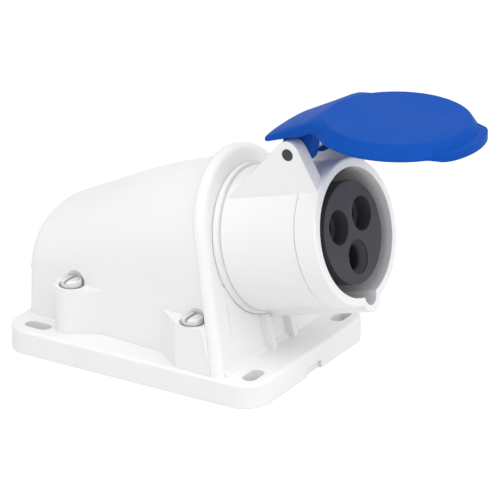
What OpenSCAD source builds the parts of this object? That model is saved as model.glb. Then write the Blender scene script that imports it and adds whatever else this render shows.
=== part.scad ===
// Angled surface-mounting socket-outlet, two poles and earth, with a sprung lid.
// Millimetres, +Z up. The wall face of the plate lies on z = 0, centred on the origin.
// The socket looks along -Y and leans up by socket_tilt.

/* [Socket position] */
// Angle of the socket axis above the plate
socket_tilt = 15; // [8:1:22]
// Y of the socket axis at the front face of the flange
axis_y = -28.2; // [-30:0.1:-26]
// Height of the socket axis at the front face of the flange
axis_z = 45.4; // [43:0.1:50]

/* [Plate] */
// Width of the plate
plate_w = 79; // [76:0.5:90]
// Length of the plate
plate_l = 104; // [104:0.5:120]
// Height of the plate's edge
plate_t = 8.8; // [7:0.1:12]
// Corner radius of the plate
plate_corner_r = 10; // [6:0.5:12]
// Rounding of the plate's top edge
plate_edge_r = 1.2; // [0.6:0.1:2]
// Thickness of the plate's top skin
plate_skin = 3; // [2.5:0.1:4]
// Thickness of the plate's edge wall
plate_rim = 2.6; // [2:0.1:4]
// Thickness of the ribs under the plate
plate_rib = 2; // [1.5:0.1:3]

/* [Fixing slots] */
// Width of a fixing slot
slot_w = 5.2; // [4:0.1:6]
// Overall length of a fixing slot
slot_len = 10; // [8:0.1:12]
// Distance of the front slots from the plate's sides
front_slot_side = 10; // [9:0.1:12]
// Distance of the front slots from the plate's front edge
front_slot_in = 6.6; // [6:0.1:7.5]
// Distance of the rear slots from the plate's sides
rear_slot_side = 6.9; // [6:0.1:7]
// Distance of the rear slots from the plate's rear edge
rear_slot_in = 11.3; // [9.5:0.1:11.5]
// Wall of material round a slot
slot_pad = 2.4; // [1.5:0.1:3]
// Width of the drain notch in the front edge
drain_w = 10; // [6:0.5:16]
// Height of the drain notch
drain_h = 3; // [2:0.1:4]
// Depth of the drain notch behind the front edge
drain_d = 1.2; // [0.6:0.1:1.6]

/* [Flange] */
// Thickness of the upright flange
flange_t = 3.8; // [3:0.1:5]
// Radius of the flange's arched top
flange_r = 30.3; // [29.8:0.1:34]
// Height of the arch centre above the socket axis
flange_lift = 3.2; // [2:0.1:5]
// Distance of the flange's foot from the plate's sides
flange_foot_in = 0.8; // [0.6:0.1:3]
// Rounding of the flange's front edge
flange_edge_r = 2.8; // [1.5:0.1:2.9]
// Distance of the two front ribs from the middle
rib_x = 6.8; // [5:0.1:10]
// Width of a front rib
rib_w = 2.4; // [2:0.1:4]
// Height of a front rib off the flange
rib_h = 2.7; // [2:0.1:4]
// Radius of the hollow foot between flange and plate
foot_fillet_r = 1.2; // [0.8:0.1:2]
// Half width of the sloping pad under the collar, at its lower end
pad_half_w = 27; // [26:0.1:29]
// Reach of the sloping pad below the socket axis
pad_drop = 29; // [27:0.5:32]
// Height of the sloping pad at the socket axis
pad_rise = 0.9; // [0.4:0.1:1.2]

/* [Cover] */
// Wall of the cover
cover_wall = 2.4; // [1.8:0.1:3]
// Half width of the cover at the flange
cover_front_half = 30.4; // [29.8:0.1:31]
// Half width of the cover at its rear wall
cover_rear_half = 23.7; // [22:0.1:26]
// Height of the roof above the socket axis next to the flange
cover_front_rise = 29.4; // [29.2:0.1:30.5]
// Height of the roof line carried on to the rear wall
cover_rear_top = 43.4; // [40:0.1:48]
// Distance of the rear wall's outer face from the plate's rear edge
cover_rear_in = 1; // [0:0.1:2]
// Y where the roof bends down
cover_bend_y = 3; // [-4:0.5:10]
// Length over which the roof bend is eased
cover_bend_soft = 5; // [2:0.5:8]
// Rounding of the rear edge
cover_edge_r = 4; // [3:0.1:6]
// Outward lean of a side wall from the axis height to the plate
cover_draft = 0.8; // [0.2:0.1:1.5]
// Squareness of the arch at the rear wall, 2 is an ellipse
cover_rear_power = 2.25; // [2:0.05:2.8]

/* [Cover screws] */
// Height of the screw bosses' tops above the plate
boss_h = 16.4; // [13:0.1:20]
// Distance of the front screws outside the cover's wall
front_screw_out = 2.6; // [2.3:0.1:3]
// Distance of the front screws in front of the middle
front_screw_y = 23.4; // [22:0.1:25]
// Distance of the rear screws outside the cover's wall
rear_screw_out = 1.6; // [1.4:0.1:2]
// Distance of the rear screws behind the middle
rear_screw_y = 29.6; // [28.5:0.1:30.5]
// Radius of a rear boss
boss_r = 6; // [5.6:0.1:6.4]
// Radius of the pocket for a screw head
pocket_r = 4.5; // [4.2:0.1:4.8]
// Depth of a pocket below the boss top
pocket_d = 0.2; // [0.1:0.1:3]
// Radius of a cover screw's shank
screw_r = 1.9; // [1.5:0.1:2.2]
// Radius of a cover screw's head
screw_head_r = 3.7; // [3.2:0.1:4]
// Height of a cover screw's head
screw_head_h = 2.6; // [2:0.1:3]
// Depth of thread that a cover screw has in the plate
screw_bite = 6.6; // [4:0.1:7]

/* [Cable entry] */
// Height of the cable entry above the plate's wall face
entry_z = 17; // [17:0.1:20]
// Radius of the cord hole
cord_r = 4.4; // [3:0.1:4.8]
// Radius of the grommet outside the wall
grommet_r = 7; // [6.6:0.1:7.5]
// Radius of the grommet's neck in the wall
grommet_neck_r = 5.8; // [5.4:0.1:6.2]
// Reach of the grommet behind the rear wall
grommet_reach = 10.5; // [6:0.5:14]
// Distance of the cord clamp in front of the rear wall
clamp_in = 17; // [14:0.5:22]
// Length of the cord clamp along the cord
clamp_l = 8; // [6:0.5:10]
// Distance of the clamp screws from the middle
clamp_screw_x = 10.5; // [9.5:0.1:12]
// Radius of a clamp screw's shank
clamp_screw_r = 1.5; // [1.2:0.1:1.8]

/* [Collar] */
// Distance from the flange to the mouth
collar_len = 41.7; // [40:0.1:46]
// Outer radius of the collar
collar_r = 25.2; // [24.8:0.1:25.4]
// Outer radius of the band at the mouth
band_r = 25.55; // [25.4:0.05:25.7]
// Length of the band at the mouth
band_l = 8.4; // [5:0.1:12]
// Radius of the ring step at the flange
ring_r = 26.3; // [26:0.1:26.8]
// Height of the ring step
ring_h = 2.5; // [2:0.1:4]
// Bore of the collar, as a radius
bore_r = 22.5; // [22.3:0.1:22.8]
// Depth of the bore behind the mouth
bore_d = 37.5; // [34:0.1:38]
// Thickness of the collar's floor
floor_t = 3.5; // [2.5:0.1:4]
// Outer radius of the spigot behind the flange
spigot_r = 23.6; // [23.5:0.05:23.8]
// Wall of the spigot
spigot_wall = 1.3; // [1:0.05:1.4]
// Length of the spigot behind the flange face
spigot_l = 13; // [11:0.5:16]
// Rounding of the mouth's outer edge
mouth_edge_r = 0.8; // [0.4:0.1:1.2]
// Depth of the fine grooves beside the ring step and the band
fine_groove = 0.4; // [0.2:0.1:0.6]
// Radius of the key groove
key_r = 3.6; // [3:0.1:4]
// Radius of the bulge round the key groove
key_bulge_r = 6; // [5.5:0.1:7]
// Thickness of the collar nut
nut_t = 5; // [4:0.1:7]
// Outer radius of the collar nut
nut_r = 26.4; // [25.6:0.1:26.6]
// Width of a grip notch in the collar nut
nut_notch = 5; // [3:0.5:7]

/* [Contacts] */
// Radius of the contact carrier's core
core_r = 17.8; // [17.6:0.1:18]
// Depth of the core's face behind the mouth
core_recess = 1.45; // [0.8:0.05:3]
// Radius of the circle on which the contacts lie
contact_pitch_r = 8.75; // [8.5:0.05:9]
// Radius of a well in the core's face
well_r = 6; // [5.6:0.1:6.4]
// Depth of a well
well_d = 11; // [10:0.5:14]
// Outer radius of a contact tube
tube_r = 4.3; // [4.1:0.1:4.6]
// Bore of a live contact, as a radius
live_bore_r = 2.55; // [2.52:0.01:2.6]
// Bore of the earth contact, as a radius
earth_bore_r = 3.05; // [3.02:0.01:3.1]
// Depth of a contact's bore
contact_bore_d = 28; // [24:0.5:30]
// Depth of a live contact's end behind the core's face
live_set_back = 7.4; // [6:0.1:8]
// Depth of the earth contact's end behind the core's face
earth_set_back = 6.4; // [5:0.1:7.5]
// Width of the slit in a contact tube
slit_w = 0.6; // [0.4:0.1:1]
// Length of the slit in a contact tube
slit_l = 14; // [8:0.5:20]
// Length of a contact's terminal behind the carrier
terminal_l = 11; // [9:0.5:14]
// Length of the carrier behind the flange face
carrier_back = 9; // [7:0.5:11]
// Thickness of a contact's spring clip
clip_t = 0.8; // [0.5:0.1:1]

/* [Hinge] */
// Height of the hinge pin above the socket axis
hinge_rise = 33.5; // [33:0.1:36]
// Distance of the hinge pin behind the mouth
hinge_back = 9.6; // [8:0.1:12]
// Radius of the hinge pin
pin_r = 2.1; // [1.8:0.05:2.2]
// Running clearance of the lid on the pin
pin_play = 0.05; // [0.03:0.01:0.08]
// Outer face of a lug from the middle
lug_out = 16; // [14:0.1:18]
// Thickness of a lug
lug_t = 5.4; // [4:0.1:6]
// Radius of a lug's top
lug_r = 4.7; // [4.2:0.1:4.9]
// Side gap between lug and lid
lug_gap = 0.4; // [0.3:0.05:0.6]
// Radius of the spring's wire
wire_r = 0.5; // [0.4:0.05:0.6]
// Turns of the spring
spring_turns = 6; // [4:1:7]

/* [Lid] */
// Angle by which the lid stands open
lid_open = 75; // [0:1:75]
// Radius of the lid's raised top
lid_top_r = 25.4; // [24.5:0.1:26]
// Height of the lid's top above the mouth
lid_h = 5.5; // [5:0.1:7]
// Outer radius of the lid's rim
lid_rim_r = 27.7; // [27.3:0.1:28.5]
// Height of the rim's upright side above the mouth
lid_rim_h = 1.2; // [1:0.1:2.4]
// Gap between the rim's lower edge and the mouth
lid_gap = 0.4; // [0.3:0.05:0.8]
// Thickness of the lid's skin
lid_skin = 3.6; // [3.2:0.1:3.8]
// Rounding of the raised top's edge
lid_edge_r = 1.2; // [0.6:0.1:2]
// Reach of the thumb tab from the lid's centre
tab_r = 30.4; // [30:0.1:33]
// Half angle of the thumb tab
tab_half = 37; // [20:1:42]
// Thickness of the thumb tab
tab_t = 2.2; // [1.5:0.1:2.8]
// Drop of the tab's lip below the rim
tab_drop = 0.7; // [0.5:0.1:1.5]
// Reach of the hood behind the pin
hood_back = 10.2; // [9:0.1:12]
// Height of the hood's top above the pin
hood_top_z = 10.5; // [10:0.1:11.5]
// Fall of the hood's top for each millimetre away from the lid
hood_fall = 0.52; // [0.4:0.02:0.55]
// Gap between the hood and the lugs' round tops
hood_gap = 1.1; // [0.8:0.1:1.4]
// Extra half width of the hood where it meets the lid
hood_flare = 3.2; // [2:0.1:4]
// Rounding of the hood's rear corners
hood_corner_r = 3; // [2:0.1:5]
// Fall of the hood's sides below its middle
hood_crown = 0.8; // [0:0.1:1.5]
// Radius of the lid's hinge knuckles
knuckle_r = 5.4; // [4.8:0.1:5.8]
// Width of the lid seal
lid_seal_w = 3; // [2:0.1:4]
// Gap between the closed lid's seal and the mouth
lid_seal_gap = 0.3; // [0.3:0.05:0.6]

/* [Seals and clearances] */
// Width of the cover seal
cover_seal_w = 1.3; // [1:0.1:1.4]
// Depth of the cover seal in the plate
cover_seal_t = 1.2; // [0.8:0.1:1.6]
// Width of the collar seal
collar_seal_w = 1.2; // [0.8:0.1:1.4]
// Thickness of the collar seal
collar_seal_t = 1.2; // [0.8:0.1:1.5]
// Clearance of pieces that slide together
slide_gap = 0.1; // [0.05:0.01:0.2]
// Clearance of the spigot in the flange
spigot_gap = 0.2; // [0.1:0.05:0.3]
// Clearance round a screw in its pilot hole
thread_gap = 0.05; // [0.02:0.01:0.1]
// Clearance round a screw in a through hole
shank_gap = 0.3; // [0.2:0.05:0.5]

/* [Hidden] */
$fn = 96;

white = "#F1F1EF";
blue = "#2459B8";
dark = "#56555B";
brass = "#C9A24B";
steel = "#B9BBBE";
rubber = "#3A3B3D";

far = 300;
seam = 0.02;
front_slot_x = plate_w / 2 - front_slot_side;
front_slot_y = plate_l / 2 - front_slot_in;
rear_slot_x = plate_w / 2 - rear_slot_side;
rear_slot_y = plate_l / 2 - rear_slot_in;
flange_foot_w = plate_w - 2 * flange_foot_in;
cover_rear_y = plate_l / 2 - cover_rear_in;
front_screw_x = cover_half(-front_screw_y, 0) + cover_draft + front_screw_out;
rear_screw_x = cover_half(rear_screw_y, 0) + cover_draft + rear_screw_out;
core_front = collar_len - core_recess;
floor_front = collar_len - bore_d;
floor_back = floor_front - floor_t;
cavity_r = spigot_r - spigot_wall;
carrier_screw_r = 1.1;
carrier_head_r = 2;
carrier_head_h = 1.6;
carrier_screw_at = (core_r + slide_gap + cavity_r) / 2;
carrier_flange_t = 4;
contact_angles = [150, 30, 270];
live_front = core_front - live_set_back;
earth_front = core_front - earth_set_back;
stop_ring_t = 2;
stop_ring_r = tube_r + 1;
wire_hole_r = 1.8;
terminal_screw_r = 1.5;
terminal_head_r = 2.6;
terminal_head_h = 1.8;
clip_w = 2.5;
hinge_z = collar_len - hinge_back;
lug_in = lug_out - lug_t;
knuckle_half = lug_in - lug_gap;
spring_half = 4.4;
lid_cavity_r = band_r + 0.4;
coil_r = pin_r + pin_play + wire_r + 0.3;
boss_top = plate_t + boss_h;
pocket_floor = boss_top - pocket_d;
pocket_rise = 0.6;
clamp_y = cover_rear_y - clamp_in;
clamp_half = clamp_screw_x + 4;
clamp_cap_t = 3;
clamp_grip = 0.4;
clamp_screw_bite = 7;
cover_screw_spots = [[front_screw_x, -front_screw_y], [rear_screw_x, rear_screw_y]];

// Limits a value to the span from low to high.
function clamp_to(v, low, high) = min(max(v, low), high);

// The smaller of two values, eased over a span of soft on each side of where they meet.
function soft_min(a, b, soft) =
    let (h = clamp_to(0.5 + 0.5 * (b - a) / soft, 0, 1))
    b * (1 - h) + a * h - soft * h * (1 - h);

// A power that keeps the sign of its base.
function signed_pow(v, p) = sign(v) * pow(abs(v), p);

// Y of the flange's front and back faces at a height.
function flange_front_y(z) = axis_y + (z - axis_z) * tan(socket_tilt);
function flange_back_y(z) = flange_front_y(z) + flange_t / cos(socket_tilt);

// Height of the socket axis, carried on over the plate.
function axis_height(y) = axis_z - (y - axis_y) * tan(socket_tilt);

// How far a section lies along the cover, 0 at the flange and 1 at the rear wall.
function cover_share(y) = (y - axis_y) / (cover_rear_y - axis_y);

// Inward shift of a section where the rear edge is rounded, for a shell set in by inset.
function edge_shift(y, inset) =
    let (r = max(cover_edge_r - inset, 0.5))
    let (d = clamp_to(y - (cover_rear_y - inset - r), 0, r))
    r - sqrt(r * r - d * d);

// Half width of the cover at the height of the socket axis.
function cover_half(y, inset) =
    cover_front_half + (cover_rear_half - cover_front_half) * cover_share(y) - inset - edge_shift(y, inset);

// Height of the cover's crest: parallel to the axis in front, then down to the rear wall.
function front_crest(y) = axis_height(y) + cover_front_rise / cos(socket_tilt);
function rear_crest(y) =
    let (bend_z = front_crest(cover_bend_y))
    bend_z + (cover_rear_top - bend_z) * (y - cover_bend_y) / (cover_rear_y - cover_bend_y);
function cover_crest(y, inset) =
    soft_min(front_crest(y), rear_crest(y), cover_bend_soft) - inset - edge_shift(y, inset);

// One cross section of the cover: two feet and a squared arch between them.
arch_steps = 36;
function arch_section(y, inset, foot_z) =
    let (half = cover_half(y, inset), spring_z = axis_height(y))
    let (rise = cover_crest(y, inset) - spring_z)
    let (p = 2 / (2 + (cover_rear_power - 2) * clamp_to(cover_share(y), 0, 1)))
    concat(
        [[half + cover_draft, y, foot_z]],
        [for (i = [0 : arch_steps])
            let (a = 180 * i / arch_steps)
            [half * signed_pow(cos(a), p), y, spring_z + rise * signed_pow(sin(a), p)]],
        [[-half - cover_draft, y, foot_z]]);

// Stations along the cover: even steps, then a closer set round the rear edge.
cover_steps = 16;
edge_steps = 6;
function cover_stations(inset) =
    let (start = flange_front_y(plate_t) - 6, turn = cover_rear_y - max(cover_edge_r, inset + 0.5))
    concat(
        [for (i = [0 : cover_steps]) start + (turn - start) * i / cover_steps],
        [for (i = [1 : edge_steps]) turn + (cover_rear_y - inset - turn) * sin(90 * i / edge_steps)]);

// Points round the foot of the cover, set in from its outer face.
function foot_outline(inset, start_y) =
    let (stations = concat([start_y], [for (y = cover_stations(inset)) if (y > start_y + 1) y]))
    concat(
        [for (y = stations) [cover_half(y, inset) + cover_draft, y]],
        [for (i = [len(stations) - 1 : -1 : 0])
            [-cover_half(stations[i], inset) - cover_draft, stations[i]]]);

// Places children on the socket axis: z = 0 on the flange's front face, +z out of the mouth, +y up.
module at_flange() {
    translate([0, axis_y, axis_z]) rotate([90 - socket_tilt, 0, 0]) children();
}

// Places children on the hinge pin, with the lid turned by lid_open from closed.
module at_lid() {
    at_flange() translate([0, hinge_rise, hinge_z]) rotate([-lid_open, 0, 0]) children();
}

// Both hands of a shape that is drawn on the +X side.
module both_sides() {
    children();
    mirror([1, 0, 0]) children();
}

// Joins sections of equal length into one closed solid.
module loft(sections) {
    n = len(sections[0]);
    m = len(sections);
    sides = [for (j = [0 : m - 2]) for (i = [0 : n - 1])
        let (a = j * n + i, b = j * n + (i + 1) % n)
        each [[a, b, b + n], [a, b + n, a + n]]];
    first = [[for (i = [n - 1 : -1 : 0]) i]];
    last = [[for (i = [0 : n - 1]) (m - 1) * n + i]];
    polyhedron(points = [for (s = sections) each s], faces = concat(sides, first, last));
}

// Flat outline with round corners.
module round_rect(w, l, r) {
    square([w - 2 * r, l], center = true);
    square([w, l - 2 * r], center = true);
    for (x = [-1, 1], y = [-1, 1]) translate([x * (w / 2 - r), y * (l / 2 - r)]) circle(r);
}

// Edge profile of the plate from x = 0 to w, with its top outer corner rounded.
module edge_profile(w, t, r) {
    square([w, t - r]);
    square([w - r, t]);
    intersection() {
        translate([w - r, t - r]) circle(r);
        square([w, t]);
    }
}

// Plate with round corners and a rounded top edge.
module soft_plate(w, l, t, corner_r, edge_r) {
    for (s = [0, 1]) mirror([s, 0, 0])
        translate([0, l / 2 - corner_r, 0]) rotate([90, 0, 0])
            linear_extrude(l - 2 * corner_r) edge_profile(w / 2, t, edge_r);
    for (s = [0, 1]) mirror([0, s, 0])
        translate([-w / 2 + corner_r, 0, 0]) rotate([90, 0, 90])
            linear_extrude(w - 2 * corner_r) edge_profile(l / 2, t, edge_r);
    for (q = [0 : 3]) {
        x = (q == 0 || q == 3 ? 1 : -1) * (w / 2 - corner_r);
        y = (q < 2 ? 1 : -1) * (l / 2 - corner_r);
        translate([x, y, 0]) rotate([0, 0, 90 * q])
            rotate_extrude(angle = 90) edge_profile(corner_r, t, edge_r);
    }
}

// Straight slot along X, from z = 0 up.
module slot(len, w, h) {
    run = len - w;
    translate([-run / 2, -w / 2, 0]) cube([run, w, h]);
    for (s = [-1, 1]) translate([s * run / 2, 0, 0]) cylinder(r = w / 2, h = h);
}

// Places children at the four fixing slots, with X along each slot.
module at_slots() {
    both_sides() translate([front_slot_x, -front_slot_y, 0]) children();
    both_sides() translate([rear_slot_x, rear_slot_y, 0]) rotate([0, 0, 90]) children();
}

// Places children at the four cover screws.
module at_cover_screws() {
    both_sides() for (p = cover_screw_spots) translate([p[0], p[1], 0]) children();
}

// Plate with its hollow underside, ribs and solid seats for slots and screws.
module plate_body() {
    inside_w = plate_w - 2 * plate_rim;
    inside_l = plate_l - 2 * plate_rim;
    inside_h = plate_t - plate_skin;
    difference() {
        soft_plate(plate_w, plate_l, plate_t, plate_corner_r, plate_edge_r);
        translate([0, 0, -1]) linear_extrude(inside_h + 1)
            round_rect(inside_w, inside_l, plate_corner_r - plate_rim);
    }
    seat_h = inside_h + plate_skin / 2;
    at_slots() slot(slot_len + 2 * slot_pad, slot_w + 2 * slot_pad, seat_h);
    at_cover_screws() cylinder(r = screw_r + plate_rim, h = seat_h);
    for (x = [-0.5, 0.5]) translate([x * inside_w / 3 - plate_rib / 2, -inside_l / 2 - plate_rim / 2, 0])
        cube([plate_rib, inside_l + plate_rim, seat_h]);
    for (y = [-1, 0, 1]) translate([-inside_w / 2 - plate_rim / 2, y * inside_l / 4 - plate_rib / 2, 0])
        cube([inside_w + plate_rim, plate_rib, seat_h]);
}

// Outline of the flange: an arch whose sides run out in tangents to the foot.
foot_drop = (axis_z - plate_t) / cos(socket_tilt);
function flange_lean() =
    let (dx = flange_foot_w / 2, dy = foot_drop + flange_lift)
    let (reach = sqrt(dx * dx + dy * dy))
    atan2(dx, dy) - asin(flange_r / reach);

// Side of the flange from the arch to below the plate's top, on the +X side.
flange_reach = foot_drop + flange_lift + flange_r;
module flange_side() {
    strip = 2 * flange_edge_r;
    translate([0, flange_lift, -flange_t]) rotate([0, 0, flange_lean()])
        translate([flange_r - strip, 0, 0]) rotate([90, 0, 0])
            linear_extrude(flange_reach) edge_profile(strip, flange_t, flange_edge_r);
}

// Flat part of the flange between its two rounded side edges.
module flange_web() {
    lean = flange_lean();
    side_r = flange_r - 1.5 * flange_edge_r;
    shoulder = [side_r * cos(lean), side_r * sin(lean) + flange_lift];
    foot = shoulder + flange_reach * [sin(lean), -cos(lean)];
    translate([0, 0, -flange_t]) linear_extrude(flange_t)
        polygon([shoulder, foot, [-foot[0], foot[1]], [-shoulder[0], shoulder[1]]]);
}

// Upright flange with a flat back and a rounded front edge, cut off inside the plate.
module flange() {
    lean = flange_lean();
    intersection() {
        at_flange() union() {
            translate([0, flange_lift, -flange_t]) rotate([0, 0, lean])
                rotate_extrude(angle = 180 - 2 * lean) edge_profile(flange_r, flange_t, flange_edge_r);
            both_sides() flange_side();
            flange_web();
        }
        translate([-far / 2, -far / 2, plate_t - plate_skin / 2]) cube(far);
    }
}

// Hollow fillet along the foot of the flange.
module flange_foot() {
    corner_y = flange_front_y(plate_t);
    reach = foot_fillet_r * tan((90 + socket_tilt) / 2);
    width = flange_foot_w - 2 * flange_edge_r;
    translate([-width / 2, corner_y, plate_t]) rotate([90, 0, 90]) linear_extrude(width) difference() {
        polygon([[1, -1], [-reach, -1], [-reach, 0],
            [reach * sin(socket_tilt), reach * cos(socket_tilt)],
            [reach * sin(socket_tilt) + 1, reach * cos(socket_tilt)]]);
        translate([-reach, foot_fillet_r]) circle(foot_fillet_r);
    }
}

// Pad under the collar whose face slopes back into the flange.
module flange_pad() {
    slope = atan2(pad_rise, pad_drop);
    top_half = spigot_r;
    at_flange() intersection() {
        translate([0, 0, -flange_t / 2]) linear_extrude(flange_t)
            polygon([[-top_half, 0], [top_half, 0],
                [pad_half_w, -pad_drop - 1], [-pad_half_w, -pad_drop - 1]]);
        translate([0, -pad_drop, 0]) rotate([slope, 0, 0]) translate([-far / 2, -10, -far])
            cube([far, far, far]);
    }
}

// The two ribs between the collar and the plate.
module flange_ribs() {
    top = ring_r - 2;
    intersection() {
        at_flange() both_sides() translate([rib_x - rib_w / 2, -foot_drop - 4, -1])
            cube([rib_w, foot_drop + 4 - top, rib_h + 1]);
        translate([-far / 2, -far / 2, plate_t - 1]) cube(far);
    }
}

// Posts and trough on the plate that carry the cord clamp.
module clamp_cradle() {
    translate([-clamp_half, clamp_y - clamp_l / 2, plate_t - 1]) difference() {
        cube([2 * clamp_half, clamp_l, entry_z - plate_t + 1]);
        translate([clamp_half, -1, entry_z - plate_t + 1]) rotate([-90, 0, 0])
            cylinder(r = cord_r, h = clamp_l + 2);
    }
}

module mounting_base() {
    color(white) difference() {
        union() {
            plate_body();
            flange();
            flange_foot();
            flange_pad();
            flange_ribs();
            clamp_cradle();
        }
        at_slots() translate([0, 0, -1]) slot(slot_len, slot_w, plate_t + 2);
        at_cover_screws() translate([0, 0, plate_t - screw_bite - thread_gap])
            cylinder(r = screw_r + thread_gap, h = screw_bite + 1);
        translate([0, 0, plate_t - cover_seal_t]) linear_extrude(cover_seal_t + 1) cover_seal_outline();
        translate([-drain_w / 2, -plate_l / 2 - 1, -1]) cube([drain_w, drain_d + 1, drain_h + 1]);
        at_flange() translate([0, 0, -flange_t - 1])
            cylinder(r = spigot_r + spigot_gap, h = flange_t + pad_rise + 1);
        at_flange() cylinder(r = ring_r + slide_gap, h = far);
        at_flange() translate([0, -bore_r, 0]) cylinder(r = key_bulge_r + slide_gap, h = far);
        both_sides() translate([clamp_screw_x, clamp_y, entry_z - clamp_screw_bite])
            cylinder(r = clamp_screw_r + thread_gap, h = clamp_screw_bite + 1);
    }
}

// U-shaped line of the cover seal, in the middle of the cover's wall.
module cover_seal_outline() {
    start = flange_back_y(plate_t) + 0.5;
    outer = (cover_wall - cover_seal_w) / 2;
    difference() {
        polygon(foot_outline(outer, start));
        polygon(foot_outline(outer + cover_seal_w, start - 1));
    }
}

module cover_seal() {
    color(rubber) translate([0, 0, plate_t - cover_seal_t]) linear_extrude(cover_seal_t) cover_seal_outline();
}

// Solid seat for a front screw, with a slanted rear face and its outer face over the flange's foot.
module front_boss() {
    out = flange_foot_w / 2;
    in = cover_half(-front_screw_y, cover_wall / 2);
    face = out - front_screw_x - front_screw_y;
    front = -front_screw_y - 15;
    lead = 0.6;
    nip = 1;
    translate([0, 0, plate_t]) linear_extrude(boss_h)
        polygon([[in, face + out - in + lead], [out - nip, face - nip], [out, front], [in, front]]);
}

// Solid seat for a rear screw: a round post with a flank that runs out along the wall.
module rear_boss() {
    flank_y = rear_screw_y - 15;
    flank_x = cover_half(flank_y, cover_wall / 2);
    back_y = rear_screw_y + 9;
    back_x = cover_half(back_y, cover_wall / 2);
    lean = 35;
    inner_r = 0.97 * boss_r;
    translate([0, 0, plate_t]) linear_extrude(boss_h) {
        translate([rear_screw_x, rear_screw_y]) circle(boss_r);
        polygon([[flank_x, flank_y],
            [rear_screw_x + inner_r * cos(lean), rear_screw_y - inner_r * sin(lean)],
            [rear_screw_x + inner_r * sin(lean), rear_screw_y + inner_r * cos(lean)],
            [back_x, back_y]]);
    }
}

// Room for a screw head and its driver: a round pocket with a domed top.
module screw_pocket(floor_z) {
    translate([0, 0, floor_z]) cylinder(r = pocket_r, h = boss_top + pocket_rise - floor_z);
    translate([0, 0, boss_top + pocket_rise]) sphere(pocket_r);
}

// Wall round a pocket inside the cover.
module pocket_liner(p) {
    wall_x = cover_half(p[1], cover_wall / 2);
    reach = pocket_r + cover_wall;
    intersection() {
        translate([p[0], p[1], plate_t]) cylinder(r = reach, h = boss_h + pocket_rise + reach);
        translate([wall_x - far, p[1] - far / 2, 0]) cube(far);
    }
}

module rear_cover() {
    color(white) difference() {
        union() {
            difference() {
                loft([for (y = cover_stations(0)) arch_section(y, 0, plate_t)]);
                loft([for (y = cover_stations(cover_wall)) arch_section(y, cover_wall, plate_t - 1)]);
            }
            both_sides() {
                front_boss();
                rear_boss();
                for (p = cover_screw_spots) pocket_liner(p);
            }
        }
        at_flange() translate([-far / 2, -far / 2, -flange_t]) cube(far);
        at_cover_screws() screw_pocket(pocket_floor);
        at_cover_screws() translate([0, 0, plate_t - 1])
            cylinder(r = screw_r + shank_gap, h = pocket_floor - plate_t + 2);
        translate([0, cover_rear_y - cover_wall - 1, entry_z]) rotate([-90, 0, 0])
            cylinder(r = grommet_neck_r + slide_gap, h = cover_wall + 2);
    }
}

// Slotted pan screw that points down, with the underside of its head at z = 0.
module pan_screw(shank_r, shank_l, head_r, head_h) {
    slot_d = head_h * 0.5;
    difference() {
        union() {
            translate([0, 0, -shank_l]) cylinder(r = shank_r, h = shank_l + 0.5);
            cylinder(r = head_r, h = head_h);
        }
        translate([-head_r - 1, -0.5, head_h - slot_d]) cube([2 * head_r + 2, 1, slot_d + 1]);
    }
}

module cover_screws() {
    color(steel) at_cover_screws() translate([0, 0, pocket_floor])
        pan_screw(screw_r, pocket_floor - plate_t + screw_bite, screw_head_r, screw_head_h);
}

// Rubber sleeve that snaps into the hole in the rear wall.
module cable_grommet() {
    lip = 1.6;
    tip_r = grommet_r - 0.4;
    color(rubber) translate([0, cover_rear_y, entry_z]) rotate([-90, 0, 0]) difference() {
        union() {
            translate([0, 0, -cover_wall - lip]) cylinder(r = grommet_r, h = lip);
            translate([0, 0, -cover_wall - 0.5]) cylinder(r = grommet_neck_r, h = cover_wall + 1);
            cylinder(r1 = grommet_r, r2 = tip_r, h = grommet_reach - 1);
            translate([0, 0, grommet_reach - 1]) cylinder(r1 = tip_r, r2 = tip_r - 1, h = 1);
        }
        translate([0, 0, -cover_wall - lip - 1])
            cylinder(r = cord_r, h = cover_wall + lip + grommet_reach + 2);
    }
}

module clamp_saddle() {
    color(white) translate([-clamp_half, clamp_y - clamp_l / 2, entry_z]) difference() {
        cube([2 * clamp_half, clamp_l, cord_r + clamp_cap_t]);
        translate([clamp_half, -1, 0]) rotate([-90, 0, 0]) cylinder(r = cord_r - clamp_grip, h = clamp_l + 2);
        for (s = [-1, 1]) translate([clamp_half + s * clamp_screw_x, clamp_l / 2, -1])
            cylinder(r = clamp_screw_r + shank_gap, h = far);
    }
}

module clamp_screws() {
    color(steel) both_sides() translate([clamp_screw_x, clamp_y, entry_z + cord_r + clamp_cap_t])
        pan_screw(clamp_screw_r, cord_r + clamp_cap_t + clamp_screw_bite - 0.5, clamp_screw_r * 1.9, 2);
}

// Side view of a hinge lug: a round top with straight edges to the ring and to the mouth.
module lug_outline() {
    top = [hinge_z, hinge_rise];
    root_y = bore_r - 4;
    front_z = collar_len - 0.5;
    rear_z = ring_h;
    front_out = [front_z - hinge_z, root_y - hinge_rise];
    rear_out = [rear_z - hinge_z, root_y - hinge_rise];
    front_a = atan2(front_out[1], front_out[0]) + acos(lug_r / norm(front_out));
    rear_a = atan2(rear_out[1], rear_out[0]) - acos(lug_r / norm(rear_out));
    translate(top) circle(lug_r);
    polygon([[front_z, root_y], top + lug_r * [cos(front_a), sin(front_a)], top,
        top + lug_r * [cos(rear_a), sin(rear_a)], [rear_z, root_y]]);
}

// The pair of hinge lugs.
module hinge_lugs() {
    both_sides() translate([lug_in, 0, 0]) rotate([0, -90, 0]) mirror([0, 0, 1])
        linear_extrude(lug_t) lug_outline();
}

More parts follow.
